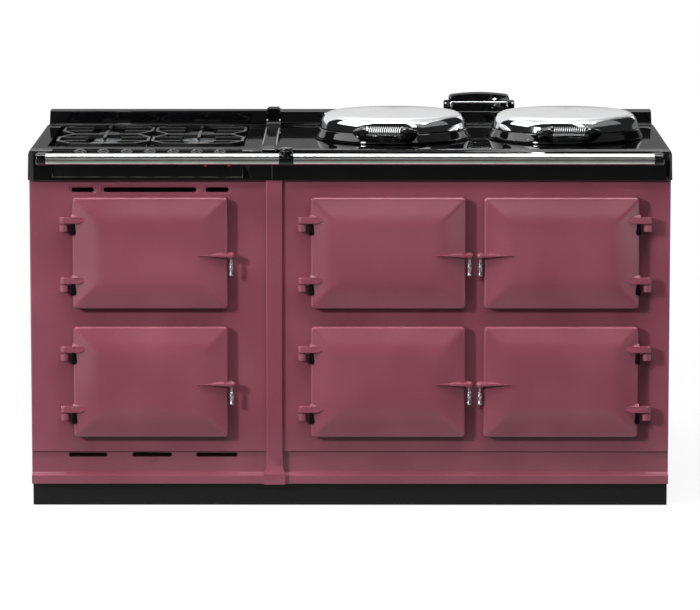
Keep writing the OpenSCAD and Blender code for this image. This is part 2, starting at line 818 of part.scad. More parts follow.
// The brackets behind the lids, with the pins that the lid barrels turn on
module lid_hinges() {
    cheek_in = 26;
    cheek_t = 12;
    cheek_r = 11;
    color(CHROME) placed()
        for (x = [left_lid_x, right_lid_x])
            translate([x, hinge_y, lid_pin_z]) {
                for (s = [-1, 1])
                    translate([s > 0 ? cheek_in : -cheek_in - cheek_t, 0, 0]) rotate([0, 90, 0]) {
                        cylinder(h = cheek_t, r = cheek_r);
                        translate([0, -cheek_r, 0]) cube([lid_pin_z - worktop_h, 2 * cheek_r, cheek_t]);
                    }
                translate([-cheek_in - cheek_t, 0, 0]) rotate([0, 90, 0])
                    cylinder(h = 2 * (cheek_in + cheek_t), r = hinge_pin_r);
            }
}

// ---- vent ----------------------------------------------------------------------------------

module vent_box() {
    y0 = upstand_y + 2;
    base_z = worktop_h + upstand_h;
    lip_z = vent_top - cap_h;
    louvre_h = 4;
    ear = [28, 24];
    ear_drop = 0.5;
    bead_r = 2.5;
    bead_x = vent_w / 2 - 5;
    bead_z = lip_z - 5;
    color(BLACK) placed() difference() {
        union() {
            facing(y0, body_depth - 2)
                translate([vent_x, (base_z + lip_z) / 2]) square([vent_w, lip_z - base_z], center = true);
            for (s = [-1, 1]) {
                facing(y0 + 8, y0 + 18)
                    translate([vent_x + s * vent_w / 2, lip_z - ear_drop - ear[1] / 2])
                        rounded_rect(ear[0], ear[1], 5);
                translate([vent_x + s * bead_x, y0, base_z]) cylinder(h = bead_z - base_z, r = bead_r);
            }
            translate([vent_x - bead_x, y0, bead_z]) rotate([0, 90, 0])
                cylinder(h = 2 * bead_x, r = bead_r);
        }
        facing(y0 - 1, y0 + 9)
            for (i = [0 : 1])
                translate([vent_x, base_z + 6 + i * 7.5]) rounded_rect(2 * bead_x - 8, louvre_h, 1.9);
        // a screw hole in each ear
        for (s = [-1, 1])
            facing(y0 + 7, y0 + 19)
                translate([vent_x + s * (vent_w / 2 + 9), lip_z - 8]) circle(2.5);
    }
}

module vent_cap() {
    y0 = upstand_y - 2;
    cap_w = vent_w + 1;
    corner_r = 10;
    crown = 6;
    crown_r = (pow(cap_w / 2, 2) + crown * crown) / (2 * crown);
    corner_x = cap_w / 2 - corner_r;
    corner_top = vent_top - crown_r + sqrt(crown_r * crown_r - corner_x * corner_x);
    color(BLACK) placed() facing(y0, body_depth) intersection() {
        translate([vent_x - cap_w / 2, vent_top - cap_h]) square([cap_w, cap_h]);
        union() {
            intersection() {
                translate([vent_x, vent_top - crown_r]) circle(crown_r, $fn = 256);
                translate([vent_x - corner_x, vent_top - cap_h]) square([2 * corner_x, cap_h]);
            }
            for (s = [-1, 1])
                translate([vent_x + s * corner_x, corner_top - corner_r]) circle(corner_r);
            translate([vent_x - cap_w / 2, vent_top - cap_h])
                square([cap_w, corner_top - corner_r - vent_top + cap_h]);
        }
    }
}

// ---- hob -----------------------------------------------------------------------------------

BURNERS = [
    [left_burner_x, front_burner_y, 1], [left_burner_x, front_burner_y + burner_pitch, 0.78],
    [right_burner_x, front_burner_y, 0.78], [right_burner_x, front_burner_y + burner_pitch, 1]
];

module burner_bases() {
    floor_z = worktop_h - well_depth;
    color("#A9ABAD") placed()
        for (b = BURNERS)
            translate([b[0], b[1], floor_z]) rotate_extrude() polygon([
                [0, 0], [50 * b[2], 0], [50 * b[2], 2], [40 * b[2], 5], [38 * b[2], 13],
                [34 * b[2], 14], [0, 14]
            ]);
}

module burner_caps() {
    base_z = worktop_h - well_depth + 14;
    color(BLACK) placed()
        for (b = BURNERS)
            translate([b[0], b[1], base_z]) rotate_extrude() polygon([
                [0, 0], [34 * b[2], 0], [36 * b[2], 1.5], [36 * b[2], 4], [32 * b[2], 6.5], [0, 7.5]
            ]);
}

// The plan of a bar between two places
module bar_plan(a, b, w) {
    v = b - a;
    translate(a) rotate(atan2(v[1], v[0])) translate([0, -w / 2]) square([norm(v), w]);
}

// The plan of bars that run through a list of places, with a swelling where they join
module bar_run(places, w) {
    for (i = [1 : len(places) - 1]) bar_plan(places[i - 1], places[i], w);
    for (p = places) translate(p) circle(w / 2 + 0.9);
}

// One cast support over two burners, about its centre: a bowed frame with fingers and feet
module pan_support() {
    bar = 7;
    half_x = 112.5;
    inner_x = 82;
    finger_y = [40, 46];
    finger_x = 42;
    burner_y = burner_pitch / 2;
    half_y = burner_y + 112;
    open_r = 38;
    bar_h = 10;
    top_z = worktop_h + 4;
    floor_z = worktop_h - well_depth;
    corner = [inner_x, half_y - 14];
    waist = [inner_x, 5];
    side_ends = [burner_y + finger_y[1], burner_y - finger_y[1]];
    translate([0, 0, top_z - bar_h]) linear_extrude(bar_h)
        for (s = [-1, 1])
            for (f = [-1, 1]) scale([s, f]) {
                // the bowed end bar, the side of the frame and the waist between the burners
                bar_run([[0, half_y], corner, [half_x, side_ends[0]], [half_x, side_ends[1]],
                         waist, [0, 14]], bar);
                // the spine, open over the burner
                bar_plan([0, burner_y + open_r], [0, half_y], bar);
                bar_plan([0, 0], [0, burner_y - open_r], bar);
                // paired fingers
                for (e = [-1, 1])
                    bar_plan([finger_x, burner_y + e * finger_y[0]], [half_x, burner_y + e * finger_y[1]], bar);
            }
    for (s = [-1, 1])
        for (f = [-1, 1])
            translate([s * half_x, f * side_ends[0], floor_z])
                cylinder(h = top_z - bar_h - floor_z + 1, r1 = bar / 2, r2 = bar / 2 + 1.6);
}

module pan_supports() {
    color(IRON) placed()
        for (x = [left_burner_x, right_burner_x])
            translate([x, front_burner_y + burner_pitch / 2, 0]) pan_support();
}

// ---- controls and towel rail ---------------------------------------------------------------

function knob_x(i) = first_knob_x + (i - 1) * knob_pitch;

module control_panel() {
    boss_r = 9;
    boss_back = 24;
    color(BLACK) placed() difference() {
        union() {
            facing(recess_face, skirt_back)
                translate([recess_x[0], recess_z[0]])
                    square([recess_x[1] - recess_x[0], recess_z[1] - recess_z[0]]);
            for (i = [1 : 7])
                facing(skirt_back, boss_back) translate([knob_x(i), knob_z]) circle(boss_r);
        }
        for (i = [1 : 7])
            facing(recess_face - 1, boss_back + 1)
                translate([knob_x(i), knob_z]) circle(4 + running_gap);
    }
}

// Red neons beside the last two knobs
module indicator_lamps() {
    lamp_r = 3.4;
    color("#B0141E") placed()
        for (i = [6, 7])
            translate([knob_x(i) + 20.5, recess_face, knob_z - 23]) rotate([90, 0, 0]) {
                cylinder(h = 2, r = lamp_r);
                translate([0, 0, 2]) cylinder(h = 1.6, r1 = lamp_r, r2 = lamp_r - 1.4);
            }
}

// A control knob on its shaft, with an upright grip across its face
module knob(i) {
    gap = 0.3;
    grip_w = 9;
    color(BLACK) placed() translate([knob_x(i), recess_face - gap, knob_z]) rotate([90, 0, 0]) {
        rotate_extrude() polygon([
            [0, 0], [knob_r, 0], [knob_r, 3], [knob_r - 2.5, 6], [knob_r - 5, 7.5],
            [knob_r - 6, 15], [knob_r - 7.5, 16.5], [0, 16.5]
        ]);
        translate([0, 0, 6]) linear_extrude(20) {
            square([grip_w, 2 * knob_r - 8], center = true);
            for (s = [-1, 1])
                translate([0, s * (knob_r - 5)]) circle(grip_w / 2);
        }
        translate([0, 0, -22]) cylinder(h = 23, r = 4);
    }
}

module towel_rails() {
    color(STEEL) placed()
        for (span = [[-rail_end_x, mid_socket[0]], [mid_socket[1], rail_end_x]])
            translate([span[0], -rail_out, rail_z]) rotate([0, 90, 0])
                cylinder(h = span[1] - span[0], r = rail_d / 2);
}

// A bracket arm from the skirt of the top plate out to the rail
module rail_arm(x, w) {
    translate([x - w / 2, 0, 0]) {
        translate([0, -rail_out, rail_z - 12]) cube([w, rail_out - skirt_out, 18]);
        translate([-4, -skirt_out - 5, rail_z - 22]) cube([w + 8, 5, 34]);
    }
}

module rail_brackets() {
    cap_r = 17;
    mid_x = (mid_socket[0] + mid_socket[1]) / 2;
    color(BLACK) placed() {
        for (s = [-1, 1]) {
            translate([s > 0 ? rail_end_x : -rail_end_x - rail_end_len + 5, -rail_out, rail_z])
                rotate([0, 90, 0]) cylinder(h = rail_end_len - 5, r = socket_r);
            translate([s * (rail_end_x + rail_end_len - 5), -rail_out, rail_z])
                rotate([0, s * 90, 0]) cylinder(h = 5, r1 = socket_r, r2 = socket_r - 4);
            rail_arm(s * (rail_end_x + 10), 18);
        }
        translate([mid_socket[0], -rail_out, rail_z]) rotate([0, 90, 0])
            cylinder(h = mid_socket[1] - mid_socket[0], r = socket_r);
        rail_arm(mid_x, 26);
        // the turned cap on top of the middle socket
        translate([mid_x, -rail_out, rail_z]) rotate_extrude() polygon([
            [0, 0], [15, 0], [15, 20], [13.5, 21], [13.5, 23], [cap_r - 1.5, 23.5], [cap_r - 1.5, 26.5],
            [cap_r - 4, 28.5], [0, 29.5]
        ]);
    }
}

// ---- the cooker ----------------------------------------------------------------------------

plinth();
base_trims();
front_panel_left();
front_panel_right();
joint_strip();
side_panels();
rear_panel();
insulation();
oven_liners(left_door_x);  // oven_liners_left
oven_liners(middle_door_x);  // oven_liners_middle
oven_liners(right_door_x);  // oven_liners_right
oven_shelves();
hinge_brackets();
top_plate_left();
top_plate_right();
top_joint_cover();
hotplates();
vent_box();
vent_cap();
lid_hinges();
control_panel();
indicator_lamps();
burner_bases();
burner_caps();
pan_supports();
towel_rails();
rail_brackets();
door(left_door_x, upper_door_z, -1);  // left_upper_door
door_liner(left_door_x, upper_door_z);  // left_upper_liner
door_grip(left_door_x, upper_door_z, -1);  // left_upper_grip
door(left_door_x, lower_door_z, -1);  // left_lower_door
door_liner(left_door_x, lower_door_z);  // left_lower_liner
door_grip(left_door_x, lower_door_z, -1);  // left_lower_grip
door(middle_door_x, upper_door_z, -1);  // middle_upper_door
door_liner(middle_door_x, upper_door_z);  // middle_upper_liner
door_grip(middle_door_x, upper_door_z, -1);  // middle_upper_grip
door(middle_door_x, lower_door_z, -1);  // middle_lower_door
door_liner(middle_door_x, lower_door_z);  // middle_lower_liner
door_grip(middle_door_x, lower_door_z, -1);  // middle_lower_grip
door(right_door_x, upper_door_z, 1);  // right_upper_door
door_liner(right_door_x, upper_door_z);  // right_upper_liner
door_grip(right_door_x, upper_door_z, 1);  // right_upper_grip
door(right_door_x, lower_door_z, 1);  // right_lower_door
door_liner(right_door_x, lower_door_z);  // right_lower_liner
door_grip(right_door_x, lower_door_z, 1);  // right_lower_grip
lid_dome(left_lid_x);  // left_lid_dome
lid_ring(left_lid_x);  // left_lid_ring
lid_handle(left_lid_x, left_handle_turn);  // left_lid_handle
lid_coil(left_lid_x, left_handle_turn);  // left_lid_coil
lid_dome(right_lid_x);  // right_lid_dome
lid_ring(right_lid_x);  // right_lid_ring
lid_handle(right_lid_x, right_handle_turn);  // right_lid_handle
lid_coil(right_lid_x, right_handle_turn);  // right_lid_coil
knob(1);  // knob_1
knob(2);  // knob_2
knob(3);  // knob_3
knob(4);  // knob_4
knob(5);  // knob_5
knob(6);  // knob_6
knob(7);  // knob_7
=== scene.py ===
"""Looks of a cast iron range cooker: a gas hob module joined to a heat-storage cooker."""

import json
import math

import bmesh
import bpy
from mathutils import Matrix, Vector
from mathutils.bvhtree import BVHTree

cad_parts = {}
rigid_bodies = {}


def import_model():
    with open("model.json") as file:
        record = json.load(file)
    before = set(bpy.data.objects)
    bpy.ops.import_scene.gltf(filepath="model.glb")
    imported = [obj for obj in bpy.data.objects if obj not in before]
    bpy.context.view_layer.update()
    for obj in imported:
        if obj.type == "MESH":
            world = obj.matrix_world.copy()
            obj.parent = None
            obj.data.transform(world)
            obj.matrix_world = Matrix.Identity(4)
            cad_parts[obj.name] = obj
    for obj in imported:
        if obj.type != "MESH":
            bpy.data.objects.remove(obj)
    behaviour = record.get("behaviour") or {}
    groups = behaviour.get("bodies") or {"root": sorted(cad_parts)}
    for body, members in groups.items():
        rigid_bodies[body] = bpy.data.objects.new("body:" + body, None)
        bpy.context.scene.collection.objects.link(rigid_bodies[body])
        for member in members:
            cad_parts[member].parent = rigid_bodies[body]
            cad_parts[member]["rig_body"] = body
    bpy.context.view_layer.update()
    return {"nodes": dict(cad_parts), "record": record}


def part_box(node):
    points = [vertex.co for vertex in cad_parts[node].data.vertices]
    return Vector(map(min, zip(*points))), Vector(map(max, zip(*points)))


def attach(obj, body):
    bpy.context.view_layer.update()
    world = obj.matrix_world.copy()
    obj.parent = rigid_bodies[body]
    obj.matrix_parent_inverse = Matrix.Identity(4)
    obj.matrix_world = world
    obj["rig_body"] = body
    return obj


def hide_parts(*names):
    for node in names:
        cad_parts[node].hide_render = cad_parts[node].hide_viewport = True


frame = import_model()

SLOTS = {subpart["node"]: subpart["material_slot"] for subpart in frame["record"]["subparts"]}
MM, MICRON = 0.001, 0.000001

# ---- places, in metres ----------------------------------------------------------------------

FACE_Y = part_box("front_panel_right")[0].y

# the flat of the top plates, whose boxes reach up to their upstands
WORKTOP_Z = 0.895


def middle(name):
    """The centre of a CAD node's box."""
    low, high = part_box(name)
    return (low + high) / 2


# each door, with -1 where its hinges are on the left and 1 where they are on the right
DOORS = {
    "left_upper": -1, "left_lower": -1, "middle_upper": -1,
    "middle_lower": -1, "right_upper": 1, "right_lower": 1,
}
LIDS = ("left", "right")

# ---- meshes ---------------------------------------------------------------------------------


def placed(name, data):
    """A new object in the scene that holds this data."""
    made = bpy.data.objects.new(name, data)
    bpy.context.scene.collection.objects.link(made)
    return made


def written(name, bm):
    """A bmesh written out as a mesh, and freed."""
    mesh = bpy.data.meshes.new(name)
    bm.to_mesh(mesh)
    bm.free()
    return mesh


def move(bm, verts, matrix):
    bmesh.ops.transform(bm, matrix=matrix, verts=verts)


def in_mm(x, y, z):
    """A place in millimetres as a translation in metres."""
    return Matrix.Translation(Vector((x, y, z)) * MM)


def smooth_by_angle(mesh, degrees):
    """Smooth shading, with edges sharper than this angle left crisp."""
    mesh.shade_smooth()
    mesh.set_sharp_from_angle(angle=math.radians(degrees))


def piece(name, bm, materials, body, replaces=(), sharp=35):
    """Makes a bmesh into a piece of the cooker that rides on a body."""
    mesh = written(name, bm)
    for material in materials:
        mesh.materials.append(material)
    smooth_by_angle(mesh, sharp)
    made = placed(name, mesh)
    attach(made, body)
    if replaces:
        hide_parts(*replaces)
    return made


def chain(bm, points):
    """Vertices at (radius, height) places in millimetres, joined by edges."""
    verts = [bm.verts.new(Vector((r, 0, z)) * MM) for r, z in points]
    edges = [bm.edges.new(pair) for pair in zip(verts, verts[1:])]
    return verts + edges


def turned(bm, points, steps):
    """A section turned about Z. It starts and ends on the axis, which closes it."""
    before = set(bm.verts)
    bmesh.ops.spin(bm, geom=chain(bm, points), cent=(0, 0, 0), axis=(0, 0, 1),
                   angle=math.tau, steps=steps, use_merge=True)
    made = [v for v in bm.verts if v not in before]
    bmesh.ops.remove_doubles(bm, verts=made, dist=MICRON)
    made = [v for v in made if v.is_valid]
    bmesh.ops.recalc_face_normals(bm, faces=list({f for v in made for f in v.link_faces}))
    return made


def arc(centre, radius, start, end, steps):
    """Places along an arc of a section, with its angles in degrees."""
    angles = [math.radians(start + (end - start) * i / steps) for i in range(steps + 1)]
    return [(centre[0] + radius * math.cos(a), centre[1] + radius * math.sin(a)) for a in angles]


def prism(bm, outline, y0, y1):
    """A front view in X and Z, in millimetres, drawn out from y0 to y1."""
    face = bm.faces.new([bm.verts.new(Vector((x, y0, z)) * MM) for x, z in outline])
    grown = bmesh.ops.extrude_face_region(bm, geom=[face])["geom"]
    far = [g for g in grown if isinstance(g, bmesh.types.BMVert)]
    bmesh.ops.translate(bm, vec=(0, (y1 - y0) * MM, 0), verts=far)
    made = list(face.verts) + far
    bmesh.ops.recalc_face_normals(bm, faces=list({f for v in made for f in v.link_faces}))
    return made


def turning(edges, above):
    """The edges whose two faces turn by more than an angle in degrees."""
    return [e for e in edges
            if len(e.link_faces) == 2 and e.calc_face_angle(0) > math.radians(above)]


def round_edges(bm, width, segments, above, edges=None):
    """Rounds the edges that turn by more than an angle, or those of them among some edges."""
    bmesh.ops.bevel(bm, geom=turning(edges or bm.edges, above), offset=width * MM,
                    offset_type="OFFSET", segments=segments, profile=0.5, affect="EDGES",
                    clamp_overlap=False, material=-1)


def cast_together(bm, passes, voxel_mm=0.75):
    """Melts overlapping lumps into one skin with soft inner corners, as a casting has them."""
    mesh = written("pattern", bm)
    lump = placed("pattern", mesh)
    remesh = lump.modifiers.new("skin", "REMESH")
    remesh.mode = "VOXEL"
    remesh.voxel_size = voxel_mm * MM
    bpy.context.view_layer.update()
    skin = lump.evaluated_get(bpy.context.evaluated_depsgraph_get()).to_mesh()
    melted = bmesh.new()
    melted.from_mesh(skin)
    bpy.data.objects.remove(lump)
    bpy.data.meshes.remove(mesh)
    for _ in range(passes):
        bmesh.ops.smooth_vert(melted, verts=melted.verts, factor=0.5,
                              use_axis_x=True, use_axis_y=True, use_axis_z=True)
    return melted


def add_copy(bm, other, matrix):
    """Adds a copy of another bmesh at a place, with its faces still pointing outwards."""
    mesh = bpy.data.meshes.new("copy")
    other.to_mesh(mesh)
    mesh.transform(matrix)
    if matrix.determinant() < 0:
        mesh.flip_normals()
    bm.from_mesh(mesh)
    bpy.data.meshes.remove(mesh)


def skin_area(bm):
    """The area of a mesh once it is cut into triangles. A fold or an overlap makes it larger."""
    cut = bm.copy()
    bmesh.ops.triangulate(cut, faces=cut.faces)
    area = sum(face.calc_area() for face in cut.faces)
    cut.free()
    return area


# the edges of a CAD shape that are rounded, in degrees of turn, and the facets of each round
CORNER, CORNER_FACETS = 40, 2

# what is tried in turn: the share of the full width, and the length in millimetres above which
# an edge is rounded
ROUNDINGS = ((1, 0), (1, 45), (0.6, 0), (0.6, 45), (0.35, 0), (0.2, 0))

# A round on a square edge takes 0.43 of its radius off the skin for each metre of the edge. Where
# much more is lost, or anything is gained, a face has folded over.
MOST_LOST, MOST_KEPT = 0.46, 1.0005


def rounded_copy(mesh, width):
    """A copy with its edges rounded, by less where the full width would fold a face over."""
    plain = bmesh.new()
    plain.from_mesh(mesh)
    bmesh.ops.remove_doubles(plain, verts=plain.verts, dist=2 * MICRON)
    area, skin = skin_area(plain), BVHTree.FromBMesh(plain)
    merged = plain.copy()
    bmesh.ops.dissolve_limit(merged, angle_limit=math.radians(0.4), verts=merged.verts,
                             edges=merged.edges)
    for share, least in ROUNDINGS:
        bm = merged.copy()
        edges = [e for e in bm.edges if e.calc_length() > least * MM]
        cut = sum(e.calc_length() for e in turning(edges, CORNER)) * width * share * MM
        round_edges(bm, width * share, CORNER_FACETS, CORNER, edges)
        stray = max(skin.find_nearest(v.co)[3] for v in bm.verts)
        if stray < width * MM and area - MOST_LOST * cut < skin_area(bm) < area * MOST_KEPT:
            return bm
        bm.free()
    return plain


def dressed(name, material, width, sharp=35):
    """A CAD node's own shape with its edges rounded, as glazing or casting leaves them."""
    cad = frame["nodes"][name]
    bm = rounded_copy(cad.data, width)
    made = piece(name + "_rounded", bm, [material], cad["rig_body"], [name], sharp)
    weighted = made.modifiers.new("flat_faces_stay_flat", "WEIGHTED_NORMAL")
    weighted.keep_sharp = True


# ---- materials ------------------------------------------------------------------------------


def paint(code):
    """An sRGB hex colour as linear values."""
    parts = [int(code[i:i + 2], 16) / 255 for i in (1, 3, 5)]
    return [c / 12.92 if c <= 0.04045 else ((c + 0.055) / 1.055) ** 2.4 for c in parts] + [1]


def node(tree, kind, settings=None, **links):
    """Adds a node. Settings are its properties, and links its inputs: values or sockets."""
    made = tree.nodes.new(kind)
    for key, value in (settings or {}).items():
        setattr(made, key, value)
    for key, value in links.items():
        socket = made.inputs[int(key[2:]) if key.startswith("in") and key[2:].isdigit()
                             else key.replace("_", " ")]
        if isinstance(value, bpy.types.NodeSocket):
            tree.links.new(value, socket)
        else:
            socket.default_value = value
    return made


def bare_tree(owner):
    """The node tree of a material or a world, emptied."""
    owner.use_nodes = True
    owner.node_tree.nodes.clear()
    return owner.node_tree


def new_material(name, **shader):
    """A material with one Principled shader, its tree, and the shader."""
    material = bpy.data.materials.new(name)
    tree = bare_tree(material)
    surface = node(tree, "ShaderNodeBsdfPrincipled", **shader)
    output = tree.nodes.new("ShaderNodeOutputMaterial")
    tree.links.new(surface.outputs["BSDF"], output.inputs["Surface"])
    return material, tree, surface


def places(tree, centre=(0, 0, 0), stretch=(1, 1, 1)):
    """Object coordinates about a centre in metres, scaled along each axis."""
    where = node(tree, "ShaderNodeTexCoord")
    shifted = node(tree, "ShaderNodeVectorMath", {"operation": "SUBTRACT"},
                   in0=where.outputs["Object"], in1=tuple(centre))
    return node(tree, "ShaderNodeMapping", Vector=shifted.outputs["Vector"],
                Scale=stretch).outputs["Vector"]


def grain(tree, vector, size_mm, detail=2.0, rough=0.5):
    """Noise whose features are about this many millimetres across."""
    return node(tree, "ShaderNodeTexNoise", Vector=vector, Scale=1 / (size_mm * MM),
                Detail=detail, Roughness=rough).outputs["Fac"]


def between(tree, factor, low, high, start=0.35, end=0.65):
    """Spreads a factor over a range of values."""
    return node(tree, "ShaderNodeMapRange", Value=factor, From_Min=start, From_Max=end,
                To_Min=low, To_Max=high).outputs["Result"]


def blend_colours(tree, factor, first, second):
    mix = node(tree, "ShaderNodeMix", {"data_type": "RGBA"}, in0=factor, in6=first, in7=second)
    return mix.outputs[2]


def relief(tree, height, depth_mm, onto=None):
    """A bump of this depth, alone or on top of another."""
    bump = node(tree, "ShaderNodeBump", Height=height, Distance=depth_mm * MM, Strength=1.0)
    if onto is not None:
        tree.links.new(onto, bump.inputs["Normal"])
    return bump.outputs["Normal"]


def vitreous_enamel(name, colour, deep_colour, roughness=0.07):
    """Coloured glass fired on cast iron: a wet gloss over a slow ripple, with tiny dimples, and
    a colour that clouds a little where the coats lie thicker."""
    material, tree, surface = new_material(name, IOR=1.52, Roughness=roughness)
    where = places(tree)
    cloud = between(tree, grain(tree, where, 140, 1.0), 0, 1)
    fleck = between(tree, grain(tree, where, 5, 1.0), 0, 0.18)
    amount = node(tree, "ShaderNodeMath", {"operation": "ADD", "use_clamp": True},
                  in0=cloud, in1=fleck).outputs[0]
    tree.links.new(blend_colours(tree, amount, paint(colour), paint(deep_colour)),
                   surface.inputs["Base Color"])
    ripple = relief(tree, grain(tree, where, 26, 1.0), 0.10)
    dimples = relief(tree, grain(tree, where, 3.2, 1.0), 0.006, onto=ripple)
    tree.links.new(dimples, surface.inputs["Normal"])
    tree.links.new(between(tree, grain(tree, where, 30), roughness * 0.8, roughness * 1.4),
                   surface.inputs["Roughness"])
    return material


def spun_metal(name, colour, centre, roughness):
    """Sheet metal spun on a lathe: fine rings round the middle and a satin gloss."""
    ring_mm, ring_depth = 1.6, 0.004
    material, tree, surface = new_material(name, Metallic=1.0, Anisotropic=0.35)
    where = places(tree, centre)
    flat = node(tree, "ShaderNodeVectorMath", {"operation": "MULTIPLY"},
                in0=where, in1=(1, 1, 0)).outputs["Vector"]
    radius = node(tree, "ShaderNodeVectorMath", {"operation": "LENGTH"}, in0=flat).outputs["Value"]
    line = node(tree, "ShaderNodeCombineXYZ", X=radius).outputs["Vector"]
    rings = grain(tree, line, ring_mm, 4.0, 0.7)
    blotch = grain(tree, where, 60, 2.0)
    tree.links.new(between(tree, rings, roughness * 0.85, roughness * 1.15),
                   surface.inputs["Roughness"])
    tree.links.new(blend_colours(tree, between(tree, blotch, 0, 0.35), paint(colour),
                                 paint("#B9BBBC")), surface.inputs["Base Color"])
    tree.links.new(relief(tree, rings, ring_depth), surface.inputs["Normal"])
    return material


def chrome_plate(name, colour="#E4E6E8", roughness=0.05):
    """Bright chromium over polished steel: a mirror with a faint haze and wipe marks."""
    material, tree, surface = new_material(name, Metallic=1.0)
    where = places(tree)
    haze = grain(tree, where, 18, 3.0)
    tree.links.new(between(tree, haze, roughness * 0.6, roughness * 1.7),
                   surface.inputs["Roughness"])
    tree.links.new(blend_colours(tree, between(tree, haze, 0, 0.3), paint(colour),
                                 paint("#C9CCCF")), surface.inputs["Base Color"])
    tree.links.new(relief(tree, grain(tree, where, 35, 1.0), 0.03), surface.inputs["Normal"])
    return material


def brushed_tube(name, colour):
    """Stainless tube polished with a belt along its length: long hair lines and a soft gloss."""
    roughness = 0.22
    material, tree, surface = new_material(name, Metallic=1.0, Anisotropic=0.5)
    hair = grain(tree, places(tree, stretch=(0.004, 1, 1)), 0.7, 3.0, 0.6)
    stain = grain(tree, places(tree), 45, 2.0)
    tree.links.new(between(tree, hair, roughness * 0.7, roughness * 1.4),
                   surface.inputs["Roughness"])
    tree.links.new(blend_colours(tree, between(tree, stain, 0, 0.4), paint(colour),
                                 paint("#A9AAA6")), surface.inputs["Base Color"])
    tree.links.new(relief(tree, hair, 0.004), surface.inputs["Normal"])
    return material


def cast_metal(name, colour, worn, roughness, grain_mm, depth):
    """Cast metal as the mould leaves it: a fine pitted grain, paler where it wears."""
    material, tree, surface = new_material(name, Metallic=0.25, IOR=1.6)
    where = places(tree)
    pits = grain(tree, where, grain_mm, 4.0, 0.65)
    stain = between(tree, grain(tree, where, 22, 3.0), 0, 1)
    tree.links.new(blend_colours(tree, stain, paint(colour), paint(worn)),
                   surface.inputs["Base Color"])
    tree.links.new(between(tree, pits, roughness * 0.8, roughness * 1.15),
                   surface.inputs["Roughness"])
    tree.links.new(relief(tree, pits, depth), surface.inputs["Normal"])
    return material


def moulded_black(name, colour, roughness, ior=1.55):
    """A black moulding, glossy in phenolic, and matt in the black pads that paint the shade under
    the door lugs: a slight orange peel, and dust in its grain."""
    material, tree, surface = new_material(name, IOR=ior)
    where = places(tree)
    peel = grain(tree, where, 2.4, 2.0)
    tree.links.new(blend_colours(tree, between(tree, grain(tree, where, 9), 0, 0.5),
                                 paint(colour), paint("#101011")), surface.inputs["Base Color"])
    tree.links.new(between(tree, peel, roughness * 0.8, roughness * 1.4),
                   surface.inputs["Roughness"])
    tree.links.new(relief(tree, peel, 0.01), surface.inputs["Normal"])
    return material


def sheet_paint(name, colour, second, roughness, ior=1.48):
    """Satin stoved paint on folded sheet: even, with a fine powder texture. A low IOR gives the
    dusty look of a plinth."""
    material, tree, surface = new_material(name, IOR=ior)
    where = places(tree)
    powder = grain(tree, where, 1.1, 3.0)
    tree.links.new(blend_colours(tree, between(tree, grain(tree, where, 90), 0, 1),
                                 paint(colour), paint(second)), surface.inputs["Base Color"])
    tree.links.new(between(tree, powder, roughness * 0.9, roughness * 1.15),
                   surface.inputs["Roughness"])
    tree.links.new(relief(tree, powder, 0.02), surface.inputs["Normal"])
    return material


def galvanised_sheet(name):
    """Hot-dip zinc: crystals 8 to 20 mm across, each a little lighter or darker."""
    material, tree, surface = new_material(name, Metallic=0.85)
    where = places(tree)
    wander = node(tree, "ShaderNodeTexNoise", Vector=where, Scale=60.0, Detail=2.0)
    shift = node(tree, "ShaderNodeVectorMath", {"operation": "SCALE"},
                 in0=wander.outputs["Color"], Scale=0.006)
    bent = node(tree, "ShaderNodeVectorMath", {"operation": "ADD"}, in0=where,
                in1=shift.outputs["Vector"])
    crystal = node(tree, "ShaderNodeTexVoronoi", Vector=bent.outputs["Vector"], Scale=70.0)
    shade = node(tree, "ShaderNodeSeparateColor", Color=crystal.outputs["Color"]).outputs["Red"]
    tree.links.new(blend_colours(tree, shade, paint("#9DA2A4"), paint("#B7BBBC")),
                   surface.inputs["Base Color"])
    tree.links.new(between(tree, shade, 0.34, 0.5, 0, 1), surface.inputs["Roughness"])
    return material


def speckled_enamel(name):
    """Oven enamel: near-black glass with a fine grey fleck."""
    material, tree, surface = new_material(name, IOR=1.5, Roughness=0.22)
    where = places(tree)
    fleck = node(tree, "ShaderNodeTexVoronoi", Vector=where, Scale=220.0).outputs["Distance"]
    tree.links.new(blend_colours(tree, between(tree, fleck, 1, 0, 0.06, 0.14),
                                 paint("#17181A"), paint("#70747A")),
                   surface.inputs["Base Color"])
    tree.links.new(relief(tree, grain(tree, where, 12, 1.0), 0.05), surface.inputs["Normal"])
    return material


def packed_wool(name):
    """Mineral wool: matted fibres a few millimetres long, matt all over."""
    material, tree, surface = new_material(name, Roughness=0.95)
    fibre = grain(tree, places(tree, stretch=(1, 0.3, 1)), 3.0, 5.0, 0.7)
    tree.links.new(blend_colours(tree, fibre, paint("#8F8871"), paint("#C9C0A2")),
                   surface.inputs["Base Color"])
    tree.links.new(relief(tree, fibre, 1.2), surface.inputs["Normal"])
    return material


def lamp_lens(name):
    """Red polycarbonate over a neon: clear colour that glows a little from inside."""
    material, tree, surface = new_material(
        name, IOR=1.58, Roughness=0.12, Emission_Strength=0.12,
        Emission_Color=paint("#C01020"))
    moulding = grain(tree, places(tree), 0.9, 1.0)
    tree.links.new(blend_colours(tree, moulding, paint("#7C0A14"), paint("#A01020")),
                   surface.inputs["Base Color"])
    return material


